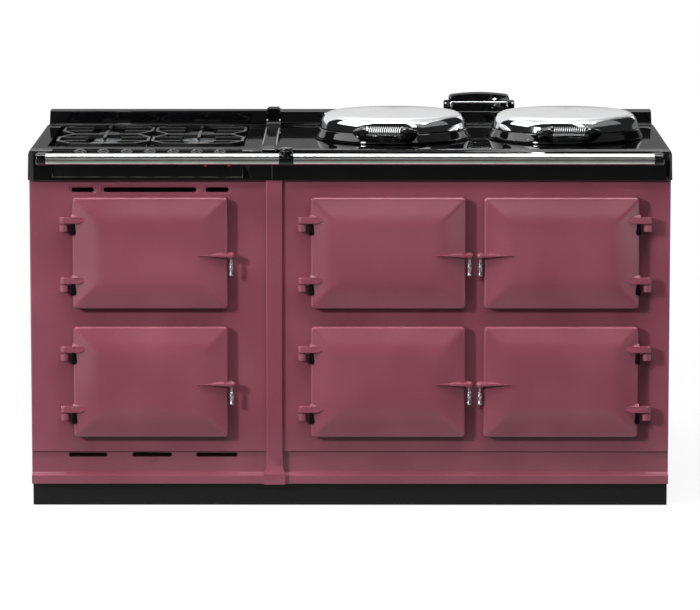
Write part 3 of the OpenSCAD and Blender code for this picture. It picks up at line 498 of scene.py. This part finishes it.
ENAMEL = vitreous_enamel("heather_vitreous_enamel", "#834654", "#7B3F4D")
BLACK = vitreous_enamel("black_vitreous_enamel", "#030303", "#050506", 0.04)
PLINTH = sheet_paint("plinth_satin_paint", "#0B0C0B", "#090A09", 0.45, 1.3)
PANEL = sheet_paint("control_panel_satin_paint", "#070708", "#0B0B0C", 0.2)
ZINC = galvanised_sheet("galvanised_steel_sheet")
RAIL = brushed_tube("belt_polished_stainless_steel", "#C9CAC6")
CHROME = chrome_plate("bright_chromium_plate")
GRIP = chrome_plate("turned_bright_steel", "#A9ADAB", 0.24)
WIRE = chrome_plate("drawn_bright_steel_wire", "#E4E5E6", 0.06)
SHELF = chrome_plate("nickel_plated_shelf_wire", "#B9BAB6", 0.22)
LINER = spun_metal("pressed_aluminium_sheet", "#C4C6C7", (0, 0, 0), 0.3)
PHENOLIC = moulded_black("black_phenolic_moulding", "#0B0B0C", 0.12)
KNOB = moulded_black("black_knob_moulding", "#0C0C0D", 0.1)
HOTPLATE = cast_metal("machined_cast_iron", "#3C3D3F", "#4A4B4C", 0.42, 2.2, 0.03)
SUPPORT = cast_metal("matt_enamelled_cast_iron", "#0A0A0A", "#141413", 0.3, 1.2, 0.03)
BURNER = cast_metal("die_cast_aluminium_burner", "#3C3E40", "#505254", 0.5, 1.0, 0.04)
CAP = cast_metal("matt_black_enamelled_cap", "#060606", "#0C0C0C", 0.3, 1.3, 0.03)
# matt black for the pads that paint the deep shade under the door lugs
SHADE_PAD_BLACK = moulded_black("black_rubber", "#020202", 0.8, 1.2)
OVEN = speckled_enamel("flecked_oven_enamel")
WOOL = packed_wool("mineral_wool")
LENS = lamp_lens("red_polycarbonate_lens")

# ---- doors ----------------------------------------------------------------------------------

DOOR_W, DOOR_H = 383, 277
DOOR_T, DOOR_RIM_T = 37, 25
DOOR_RIM_R, DOOR_CORNER_R, DOOR_BORDER = 7, 9.5, 84
DOOR_GAP = 3

# the mesh lines across a door's rolled rim, its border and half its centre
RIM_LINES, BORDER_LINES, CENTRE_LINES = 6, 21, 10

# the share of a border that climbs straight, and how soft the mitre of two borders is
BORDER_STRAIGHT, MITRE_SOFTNESS = 0.32, 0.12


def door_lines(length):
    """Where the lines of a door's mesh lie along one side, close together on its rolled rim."""
    rim = [DOOR_RIM_R * (1 - math.cos(math.radians(90 / RIM_LINES * i)))
           for i in range(RIM_LINES)]
    border = [DOOR_RIM_R + DOOR_BORDER * i / BORDER_LINES for i in range(BORDER_LINES)]
    start = DOOR_RIM_R + DOOR_BORDER
    centre = [start + (length / 2 - start) * i / CENTRE_LINES for i in range(CENTRE_LINES + 1)]
    half = rim + border + centre
    return half + [length - place for place in reversed(half[:-1])]


def border_rise(distance):
    """How far up its slope a border is: straight at first, then easing into the flat centre."""
    steepness = 2 / (1 + BORDER_STRAIGHT)
    share = min(max((distance - DOOR_RIM_R) / DOOR_BORDER, 0), 1)
    if share < BORDER_STRAIGHT:
        return steepness * share
    left = (1 - share) / (1 - BORDER_STRAIGHT)
    return 1 - steepness * (1 - BORDER_STRAIGHT) / 2 * left * left


def door_place(x, z):
    """Where a point of the flat grid lies on the pillow, from its distances to the edges."""
    dx, dz = min(x, DOOR_W - x), min(z, DOOR_H - z)
    edge = min(dx, dz)
    if dx < DOOR_CORNER_R and dz < DOOR_CORNER_R:
        u, v = 1 - dx / DOOR_CORNER_R, 1 - dz / DOOR_CORNER_R
        u, v = u * math.sqrt(1 - v * v / 2), v * math.sqrt(1 - u * u / 2)
        dx, dz = DOOR_CORNER_R * (1 - u), DOOR_CORNER_R * (1 - v)
        edge = max(DOOR_CORNER_R * (1 - math.hypot(u, v)), 0)
    roll = math.sqrt(max(DOOR_RIM_R ** 2 - max(DOOR_RIM_R - edge, 0) ** 2, 0))
    low, high = sorted((border_rise(dx), border_rise(dz)))
    gap = max(MITRE_SOFTNESS - (high - low), 0) / MITRE_SOFTNESS
    slope = low - gap * gap * MITRE_SOFTNESS / 4
    height = DOOR_RIM_T - DOOR_RIM_R + roll + (DOOR_T - DOOR_RIM_T) * max(slope, 0)
    x = dx if x < DOOR_W / 2 else DOOR_W - dx
    z = dz if z < DOOR_H / 2 else DOOR_H - dz
    return Vector((x - DOOR_W / 2, -height, z - DOOR_H / 2)) * MM


def pillow_panel(bm):
    """The cast pillow of a door, from its rear face to its flat centre."""
    lines_x, lines_z = door_lines(DOOR_W), door_lines(DOOR_H)
    last = len(lines_x) - 1
    grid = bmesh.ops.create_grid(bm, x_segments=last, y_segments=last, size=1)["verts"]
    for v in grid:
        v.co = door_place(lines_x[round((v.co.x + 1) / 2 * last)],
                          lines_z[round((v.co.y + 1) / 2 * last)])
    rim = [e for e in bm.edges if e.is_boundary]
    grown = bmesh.ops.extrude_edge_only(bm, edges=rim)["geom"]
    for v in grown:
        if isinstance(v, bmesh.types.BMVert):
            v.co.y = 0
    rear = [e for e in grown if isinstance(e, bmesh.types.BMEdge)]
    bmesh.ops.edgeloop_fill(bm, edges=rear)
    bmesh.ops.recalc_face_normals(bm, faces=bm.faces)


# the hinge pin, out from the door's edge and forward of the front panel, and its two lugs
HINGE_OUT, HINGE_REACH = 21, 24
LUG_H, BARREL_R, LUG_REACH = 16.5, 11, 58
LUG_HEIGHTS = (74, -76)


def hinge_lug():
    """A lug about its pin: a barrel, a bar that dies into the door's border, a ramp on top."""
    taper_from, bar_end, ramp_from, set_back = 36, LUG_REACH + 4, 19, 3
    bm = bmesh.new()
    turned(bm, [(0, 0.3), (BARREL_R - 1.5, 0.3), (BARREL_R, 1.8), (BARREL_R, LUG_H - 2),
                (BARREL_R - 2, LUG_H), (0, LUG_H)], 48)
    bar = prism(bm, [(0, 0.5), (taper_from, 0.5), (bar_end, 9), (bar_end, LUG_H - 3),
                     (taper_from, LUG_H), (0, LUG_H)], -BARREL_R, BARREL_R)
    for v in bar:
        if v.co.x > (taper_from + bar_end) / 2 * MM and v.co.y < 0:
            v.co.y += set_back * MM
    side = [(-BARREL_R, 1), (-BARREL_R, LUG_H - 0.4), (-BARREL_R + 7.5, LUG_H + 6.5),
            (BARREL_R, LUG_H + 6.5), (BARREL_R, 1)]
    ramp = prism(bm, side, -LUG_REACH, -ramp_from)
    move(bm, ramp, Matrix.Rotation(math.radians(90), 4, "Z"))
    for v in ramp:
        if v.co.x > (ramp_from + LUG_REACH) / 2 * MM:
            v.co.z += (-6 if v.co.z > LUG_H * 0.7 * MM else 8) * MM
            if v.co.y < 0:
                v.co.y += set_back * MM
    return cast_together(bm, 3)


# the catch about the middle of the free edge, and its grip's axis from that edge
CATCH_Z, GRIP_OUT, GRIP_Y = -4, 9, -30


def catch_arm():
    """The catch about the free edge: a ledged spike along the face that ends in a knuckle."""
    bm = bmesh.new()
    spike = prism(bm, [(-76, 0), (-40, 4.2), (9, 6.4), (9, -9), (-8, -9), (-40, -5)],
                  -12 + DOOR_GAP, -42 + DOOR_GAP)
    ridge = min(v.co.y for v in spike)
    for v in spike:
        if v.co.y < ridge + MICRON:
            v.co.z = v.co.z * 0.45 + 0.2 * MM
    ledge = prism(bm, [(-56, 1), (-50, 6.6), (-15, 9.4), (-11, 8), (-11, 1)], -14, -31)
    front = min(v.co.y for v in ledge)
    for v in ledge:
        if v.co.y < front + MICRON:
            v.co.z -= 3.2 * MM
    knuckle = bmesh.ops.create_uvsphere(bm, u_segments=32, v_segments=20, radius=9.8 * MM)
    move(bm, knuckle["verts"], in_mm(GRIP_OUT, GRIP_Y + DOOR_GAP, -1.6)
         @ Matrix.Diagonal((1, 1.15, 0.95, 1)))
    return cast_together(bm, 2)


def door_seat(name, side):
    """Takes a door drawn about its rear face, with its hinges on the left, to its own place."""
    centre = middle(name + "_liner")
    return (Matrix.Translation((centre.x, FACE_Y - DOOR_GAP * MM, centre.z))
            @ Matrix.Diagonal((-side, 1, 1, 1)))


def oven_doors():
    """The six doors, each a pillow cast in one with its lugs and its catch."""
    lug, catch = hinge_lug(), catch_arm()
    pin = in_mm(-DOOR_W / 2 - HINGE_OUT, -HINGE_REACH + DOOR_GAP, 0)
    for name, side in DOORS.items():
        bm = bmesh.new()
        pillow_panel(bm)
        for height in LUG_HEIGHTS:
            add_copy(bm, lug, pin @ in_mm(0, 0, height))
        add_copy(bm, catch, in_mm(DOOR_W / 2, 0, CATCH_Z))
        move(bm, bm.verts, door_seat(name, side))
        if side > 0:
            bmesh.ops.reverse_faces(bm, faces=bm.faces)
        piece(name + "_enamelled_door", bm, [ENAMEL], name + "_door_group",
              [name + "_door"], 40)


# half section of a grip: radius, and height about the middle of the door
GRIP_SECTION = [
    (0, -55.4), (3.4, -55.4), (4.9, -54.9), (5.8, -53.8), (6.1, -52), (5.8, -50.4), (4.9, -49),
    (4.6, -46.5), (4.5, -43), (4.6, -39.5), (4.9, -36.6), (5.8, -35), (6.1, -33), (5.8, -31),
    (4.6, -29.6), (4.2, -28.7), (4.5, -27.8), (5.4, -27.2), (5.7, -25.6), (5.4, -24), (4.2, -23.2),
    (3.2, -22.6), (3.2, CATCH_Z - 7), (0, CATCH_Z - 7),
]


def stop_pads():
    """Black pads on the hinge edge of a door, one under each lug: painted shade, dark pieces put
    where the lug's deep shadow falls.
    """
    for name, side in DOORS.items():
        pads = bmesh.new()
        for height in LUG_HEIGHTS:
            outline = [(-3, 0), (6, 0)] + arc((2.2, -22), 6.8, 15, -195, 14)
            pad = prism(pads, outline, -27.8, -12)
            move(pads, pad, in_mm(-DOOR_W / 2, 0, height))
        round_edges(pads, 1.5, 2, 40)
        move(pads, pads.verts, door_seat(name, side))
        bmesh.ops.recalc_face_normals(pads, faces=pads.faces)
        piece(name + "_stop_pads", pads, [SHADE_PAD_BLACK], name + "_door_group")


def door_grips():
    """The turned spools that hang from the catches."""
    for name in DOORS:
        axis, door_z = middle(name + "_grip"), middle(name + "_liner").z
        bm = bmesh.new()
        move(bm, turned(bm, GRIP_SECTION, 40), Matrix.Translation((axis.x, axis.y, door_z)))
        piece(name + "_turned_grip", bm, [GRIP], name + "_door_group",
              [name + "_grip"], 50)


# ---- lids -----------------------------------------------------------------------------------

# heights above the worktop, and the middle and radius of the rolled shoulder in half section
LID_SEAM_Z, LID_FOOT_Z = 27.5, 0.6
SHOULDER, SHOULDER_R = (150, 32.8), 33
LID_FACETS = 144

# a dome is satin where its skin faces up by more than this, and polished below
SATIN_ENDS = 0.77

# the bright lining ends at this radius of the ring's underside, in metres
LINING_R = 0.16


def dome_section():
    """Half section of a dome, up from the seam: side, big rolled shoulder, shallow crown."""
    tilt, steps = 5, 12
    roll = arc(SHOULDER, SHOULDER_R, 12.6, 90 - tilt, 18)
    edge_r, edge_z = roll[-1]
    crown_r = edge_r / math.sin(math.radians(tilt))
    angles = [math.radians(tilt - tilt * i / steps) for i in range(1, steps + 1)]
    crown = [(crown_r * math.sin(a),
              edge_z + crown_r * (math.cos(a) - math.cos(math.radians(tilt)))) for a in angles]
    crown[-1] = (0, crown[-1][1])
    return [(0, LID_SEAM_Z), (184.2, LID_SEAM_Z), (185, LID_SEAM_Z + 0.8)] + roll + crown


# half section of a lower ring: radius, and height about the worktop
RING_SECTION = [
    (0, 6.5), (110, 5.6), (158, 4.8), (163, 4.6), (169, 3), (171.5, LID_FOOT_Z + 0.4),
    (173, LID_FOOT_Z), (193, LID_FOOT_Z), (195.2, LID_FOOT_Z + 0.7), (196, LID_FOOT_Z + 2.5),
    (195, LID_FOOT_Z + 6), (193, LID_FOOT_Z + 9.5), (190, LID_FOOT_Z + 15.5),
    (187, LID_FOOT_Z + 21.5), (186.3, LID_FOOT_Z + 23.6), (185, LID_FOOT_Z + 24.6),
    (182.6, LID_FOOT_Z + 24.9), (182.4, LID_SEAM_Z), (0, LID_SEAM_Z),
]


def hinge_barrel(bm, centre):
    """The barrel behind a lid, with the web that joins it to the ring. Its sizes are in metres."""
    width, barrel_r, hinge_y = 0.05, 0.01, centre.y + 0.21
    web_d, web_h, web_z, barrel_z = 0.035, 0.015, 0.0115, 0.014
    before = set(bm.verts)
    web = bmesh.ops.create_cube(bm, size=1)["verts"]
    move(bm, web, Matrix.Translation((centre.x, hinge_y - web_d / 2, WORKTOP_Z + web_z))
         @ Matrix.Diagonal((width, web_d, web_h, 1)))
    barrel = bmesh.ops.create_cone(bm, cap_ends=True, segments=48, radius1=barrel_r,
                                   radius2=barrel_r, depth=width)["verts"]
    move(bm, barrel, Matrix.Translation((centre.x, hinge_y, WORKTOP_Z + barrel_z))
         @ Matrix.Rotation(math.radians(90), 4, "Y"))
    made = [v for v in bm.verts if v not in before]
    round_edges(bm, 1.2, 2, 60, list({e for v in made for e in v.link_edges}))


def lids():
    """Both lids: a dome, satin on top and polished at its side, over a black ring."""
    for name in LIDS:
        centre = middle(name + "_lid_dome")
        seat = Matrix.Translation((centre.x, centre.y, WORKTOP_Z))
        bm = bmesh.new()
        move(bm, turned(bm, dome_section(), LID_FACETS), seat)
        for face in bm.faces:
            face.material_index = 0 if face.normal.z > SATIN_ENDS else 1
        top = spun_metal(name + "_lid_satin_spun_steel", "#CDCFCF", centre, 0.3)
        piece(name + "_lid_spun_dome", bm, [top, CHROME], name + "_lid",
              [name + "_lid_dome"], 50)
        bm = bmesh.new()
        move(bm, turned(bm, RING_SECTION, LID_FACETS), seat)
        for face in bm.faces:
            from_axis = (face.calc_center_median() - centre).xy.length
            face.material_index = 1 if face.normal.z < -0.9 and from_axis < LINING_R else 0
        under = spun_metal(name + "_lid_lining_spun_aluminium", "#CFD1D2", centre, 0.2)
        hinge_barrel(bm, centre)
        piece(name + "_lid_lower_ring", bm, [BLACK, under], name + "_lid",
              [name + "_lid_ring"], 40)


def vent_beading():
    """Bright wire beading round the mouth of the vent box. Its sizes are in metres."""
    centre, front = middle("vent_box"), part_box("vent_box")[0].y + 0.0005
    half, top, foot, wire_r = 0.073, WORKTOP_Z + 0.060, WORKTOP_Z + 0.040, 0.0029
    bm = bmesh.new()
    for ends in (((-half, top), (half, top)), ((-half, top), (-half, foot)),
                 ((half, top), (half, foot))):
        (x0, z0), (x1, z1) = ends
        way = Vector((x1 - x0, 0, z1 - z0))
        rod = bmesh.ops.create_cone(bm, cap_ends=True, segments=20, radius1=wire_r,
                                    radius2=wire_r, depth=way.length)["verts"]
        move(bm, rod, Matrix.Translation((centre.x + (x0 + x1) / 2, front, (z0 + z1) / 2))
             @ way.to_track_quat("Z", "Y").to_matrix().to_4x4())
    round_edges(bm, 0.8, 2, 60)
    piece("vent_wire_beading", bm, [CHROME], frame["nodes"]["vent_box"]["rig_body"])


# ---- stage, lamps and camera ----------------------------------------------------------------


def seen_directly(tree):
    """1 to the camera, in a mirror and through glass, and 0 for the light that falls on things."""
    path = node(tree, "ShaderNodeLightPath")
    seen = path.outputs["Is Camera Ray"]
    for kind in ("Is Glossy Ray", "Is Transmission Ray"):
        seen = node(tree, "ShaderNodeMath", {"operation": "MAXIMUM"}, in0=seen,
                    in1=path.outputs[kind]).outputs[0]
    return seen


def stage_material(name, near, far):
    """Pale floor: it shows and reflects as near white, and still takes the cooker's shadow."""
    material = bpy.data.materials.new(name)
    tree = bare_tree(material)
    seen = seen_directly(tree)
    where = node(tree, "ShaderNodeTexCoord")
    reach = node(tree, "ShaderNodeVectorMath", {"operation": "LENGTH"},
                 in0=where.outputs["Object"])
    fade = node(tree, "ShaderNodeMapRange", Value=reach.outputs["Value"], From_Min=1.2,
                From_Max=4.5, To_Min=near, To_Max=far)
    strength = node(tree, "ShaderNodeMath", {"operation": "MULTIPLY"},
                    in0=seen, in1=fade.outputs["Result"])
    glow = node(tree, "ShaderNodeEmission", Strength=strength.outputs[0])
    matt = node(tree, "ShaderNodeBsdfDiffuse", Color=(0.10, 0.10, 0.10, 1))
    both = node(tree, "ShaderNodeAddShader", in0=glow.outputs[0], in1=matt.outputs[0])
    output = node(tree, "ShaderNodeOutputMaterial")
    tree.links.new(both.outputs[0], output.inputs["Surface"])
    return material


def floor():
    bm = bmesh.new()
    bmesh.ops.create_circle(bm, cap_ends=True, segments=64, radius=40)
    mesh = written("floor", bm)
    mesh.materials.append(stage_material("pale_studio_floor", 0.88, 1.0))
    placed("floor", mesh)


def card(name, bm, brightness, ramps=()):
    """A cloth or board that only reflections see, as a photographer hangs round glossy things.
    Each ramp (axis, start, end, brightness) lightens it along an axis, and the brightest wins."""
    mesh = written(name, bm)
    material = bpy.data.materials.new(name + "_cloth")
    tree = bare_tree(material)
    where = node(tree, "ShaderNodeTexCoord")
    side = node(tree, "ShaderNodeSeparateXYZ", Vector=where.outputs["Object"])
    most = brightness
    for axis, start, end, bright in ramps:
        ramp = node(tree, "ShaderNodeMapRange", {"interpolation_type": "SMOOTHSTEP"},
                    Value=side.outputs[axis], From_Min=start, From_Max=end,
                    To_Min=brightness, To_Max=bright)
        most = node(tree, "ShaderNodeMath", {"operation": "MAXIMUM"}, in0=most,
                    in1=ramp.outputs["Result"]).outputs[0]
    glow = node(tree, "ShaderNodeEmission", Strength=most)
    output = node(tree, "ShaderNodeOutputMaterial")
    tree.links.new(glow.outputs[0], output.inputs["Surface"])
    mesh.materials.append(material)
    cloth = placed(name, mesh)
    cloth.visible_camera = False
    cloth.visible_diffuse = False
    cloth.visible_shadow = False
    cloth.visible_transmission = False


def one_face(corners):
    """A bmesh of one face through these corners."""
    bm = bmesh.new()
    bm.faces.new([bm.verts.new(corner) for corner in corners])
    return bm


def level(x0, x1, y0, y1):
    """A sheet that lies just clear of the floor, in metres."""
    z = 0.003
    return one_face([(x0, y0, z), (x1, y0, z), (x1, y1, z), (x0, y1, z)])


def upright(x0, x1, z0, z1, y):
    """A sheet that stands square to the camera, in metres."""
    return one_face([(x0, y, z0), (x1, y, z0), (x1, y, z1), (x0, y, z1)])


def tent():
    """A round tent that is open behind the cooker, from its section in millimetres."""
    section = [(9500, 0), (9500, 4000), (7600, 7000), (4200, 9400), (1500, 10300)]
    start, sweep = -222, 282
    bm = bmesh.new()
    chained = chain(bm, section)
    move(bm, bm.verts, Matrix.Rotation(math.radians(start), 4, "Z"))
    bmesh.ops.spin(bm, geom=chained, cent=(0, 0, 0), axis=(0, 0, 1), angle=math.radians(sweep),
                   steps=48)
    return bm


def cloths():
    """A dark tent round the front, a runner on the floor, boards ahead, a card behind."""
    card("dark_tent", tent(), 0.02)
    card("floor_runner", level(-2.4, 2.9, -9.3, FACE_Y - 0.25), 0.12,
         [("X", -1.0, -2.0, 0.9), ("X", 1.8, 2.8, 0.6), ("Y", -1.6, -0.9, 0.5)])
    card("left_board", upright(-4.6, -0.8, 0.0, 2.0, -3.8), 0.05, [("X", -0.8, -2.4, 0.9)])
    card("high_board", upright(-4.6, 1.6, 1.2, 2.3, -4.3), 0.05, [("Z", 1.1, 2.2, 0.9)])
    card("rear_card", upright(-4, 4, 0, 1.062, 0.9), 0.17)


def softbox(name, place, aim, size, radiance, glossy=True):
    """A lamp aimed at a place. A radiance of 1 looks white in a mirror."""
    lamp = bpy.data.lights.new(name, "AREA")
    lamp.shape = "RECTANGLE"
    lamp.size, lamp.size_y = size
    lamp.energy = radiance * math.pi * (size[0] * size[1])
    made = placed(name, lamp)
    made.location = place
    made.rotation_euler = (Vector(aim) - Vector(place)).to_track_quat("-Z", "Y").to_euler()
    made.visible_glossy = glossy
    made.visible_camera = False


def around(azimuth, elevation, distance, aim=(0, -0.28, 0.6)):
    """A place seen from the cooker's front. Azimuth 0 is straight ahead, positive to the right."""
    a, e = math.radians(azimuth), math.radians(elevation)
    way = Vector((math.sin(a) * math.cos(e), -math.cos(a) * math.cos(e), math.sin(e)))
    return Vector(aim) + way * distance


def lamps():
    """A hard key from the left, a strip for the doors' upper slopes, fills that no mirror shows,
    and walls of light for the lids."""
    front = (0, -0.28, 0.55)
    softbox("left_key", around(-47, 20, 9.5), front, (1.1, 1.1), 188)
    softbox("top_strip", (0.1, -0.69, 2.9), (0.1, -0.3, 0.7), (3.6, 0.42), 11)
    softbox("top_fill", around(8, 66, 3.5), front, (3.0, 1.0), 10, glossy=False)
    softbox("side_fill", around(-66, 40, 7.0), front, (2.6, 2.6), 4, glossy=False)
    softbox("front_fill", around(10, 22, 5.0), front, (2.2, 1.4), 3.2, glossy=False)
    softbox("left_wall", around(-92, 49, 2.8), (0, 0, 0.9), (2.1, 1.75), 3.2)
    softbox("overhead", (0.0, 0.68, 2.9), (0, 0.68, 0.9), (3.6, 2.3), 0.92)
    softbox("right_strip", around(46, 54, 2.6), (0.3, 0, 0.9), (0.36, 1.9), 2)
    softbox("right_wall", around(82, 44, 2.8), (0.2, 0, 0.9), (2.6, 1.6), 0.22)


def backdrop():
    """White to the camera and in reflections, and a plain grey fill for everything else."""
    world = bpy.data.worlds.new("studio")
    bpy.context.scene.world = world
    tree = bare_tree(world)
    fill = node(tree, "ShaderNodeBackground", Strength=0.03, Color=(1, 1, 1, 1))
    white = node(tree, "ShaderNodeBackground", Strength=1.0, Color=(1, 1, 1, 1))
    mix = node(tree, "ShaderNodeMixShader", in0=seen_directly(tree), in1=fill.outputs[0],
               in2=white.outputs[0])
    output = node(tree, "ShaderNodeOutputWorld")
    tree.links.new(mix.outputs[0], output.inputs["Surface"])


def camera():
    """A long lens a little above the cooker, looking down at it by about 8 degrees."""
    distance, height, off_centre, aim_z = 10.6, 2.005, 0.028, 0.5067
    focal_px, photo_px, sensor_mm = 4324, 700, 36
    lens = bpy.data.cameras.new("camera")
    lens.sensor_width = sensor_mm
    lens.lens = focal_px / photo_px * sensor_mm
    lens.clip_end = 100
    made = placed("camera", lens)
    made.location = (off_centre, FACE_Y - distance, height)
    way = Vector((0, FACE_Y, aim_z)) - made.location
    made.rotation_euler = way.to_track_quat("-Z", "Y").to_euler()
    bpy.context.scene.camera = made


# the finish of each material slot
FINISHES = {
    "heather_enamel": ENAMEL, "black_enamel": BLACK, "plinth_paint": PLINTH,
    "stainless_rail": RAIL, "lid_metal": CHROME, "lid_ring_black": BLACK,
    "handle_black": PHENOLIC, "handle_wire": WIRE, "grip_steel": GRIP,
    "cast_iron_dark": HOTPLATE, "oven_iron": OVEN, "support_iron": SUPPORT,
    "liner_steel": LINER, "shelf_wire": SHELF, "burner_alloy": BURNER,
    "burner_enamel": CAP, "galvanised_steel": ZINC, "mineral_wool": WOOL,
    "red_lens": LENS, "knob_black": KNOB, "panel_black": PANEL,
}

# nodes with shallow pressed bevels, which stay crisp above 12 degrees and not 35
PRESSED = ("front_panel_left", "front_panel_right", "base_trims")

# edge radius in millimetres of each node that keeps its CAD shape
EDGES = {
    "front_panel_left": 0.8, "front_panel_right": 0.8, "base_trims": 1.5, "joint_strip": 1.8,
    "side_panels": 1.0, "rear_panel": 0.8, "plinth": 1.0, "top_plate_left": 1.6,
    "top_plate_right": 1.6, "top_joint_cover": 1.6, "vent_box": 0.7, "vent_cap": 1.6,
    "rail_brackets": 1.2, "control_panel": 0.6, "hinge_brackets": 1.2, "hotplates": 0.8,
    "burner_bases": 0.6, "burner_caps": 0.8, "pan_supports": 1.2, "lid_hinges": 0.8,
}


def cad_finishes():
    """Gives every CAD node its finish, and rounds the edges of those that keep their shape."""
    for name, slot in SLOTS.items():
        finish, mesh = FINISHES[slot], frame["nodes"][name].data
        mesh.materials.clear()
        mesh.materials.append(finish)
        if name in EDGES:
            dressed(name, finish, EDGES[name], sharp=12 if name in PRESSED else 35)
        elif name.startswith("knob"):
            dressed(name, finish, 0.8)


# ---- the cooker -----------------------------------------------------------------------------

bpy.context.scene.view_settings.view_transform = "Standard"
camera()
backdrop()
floor()
cloths()
lamps()
cad_finishes()
oven_doors()
# dark pads that paint the shade beneath each hinge lug
stop_pads()
door_grips()
lids()
vent_beading()
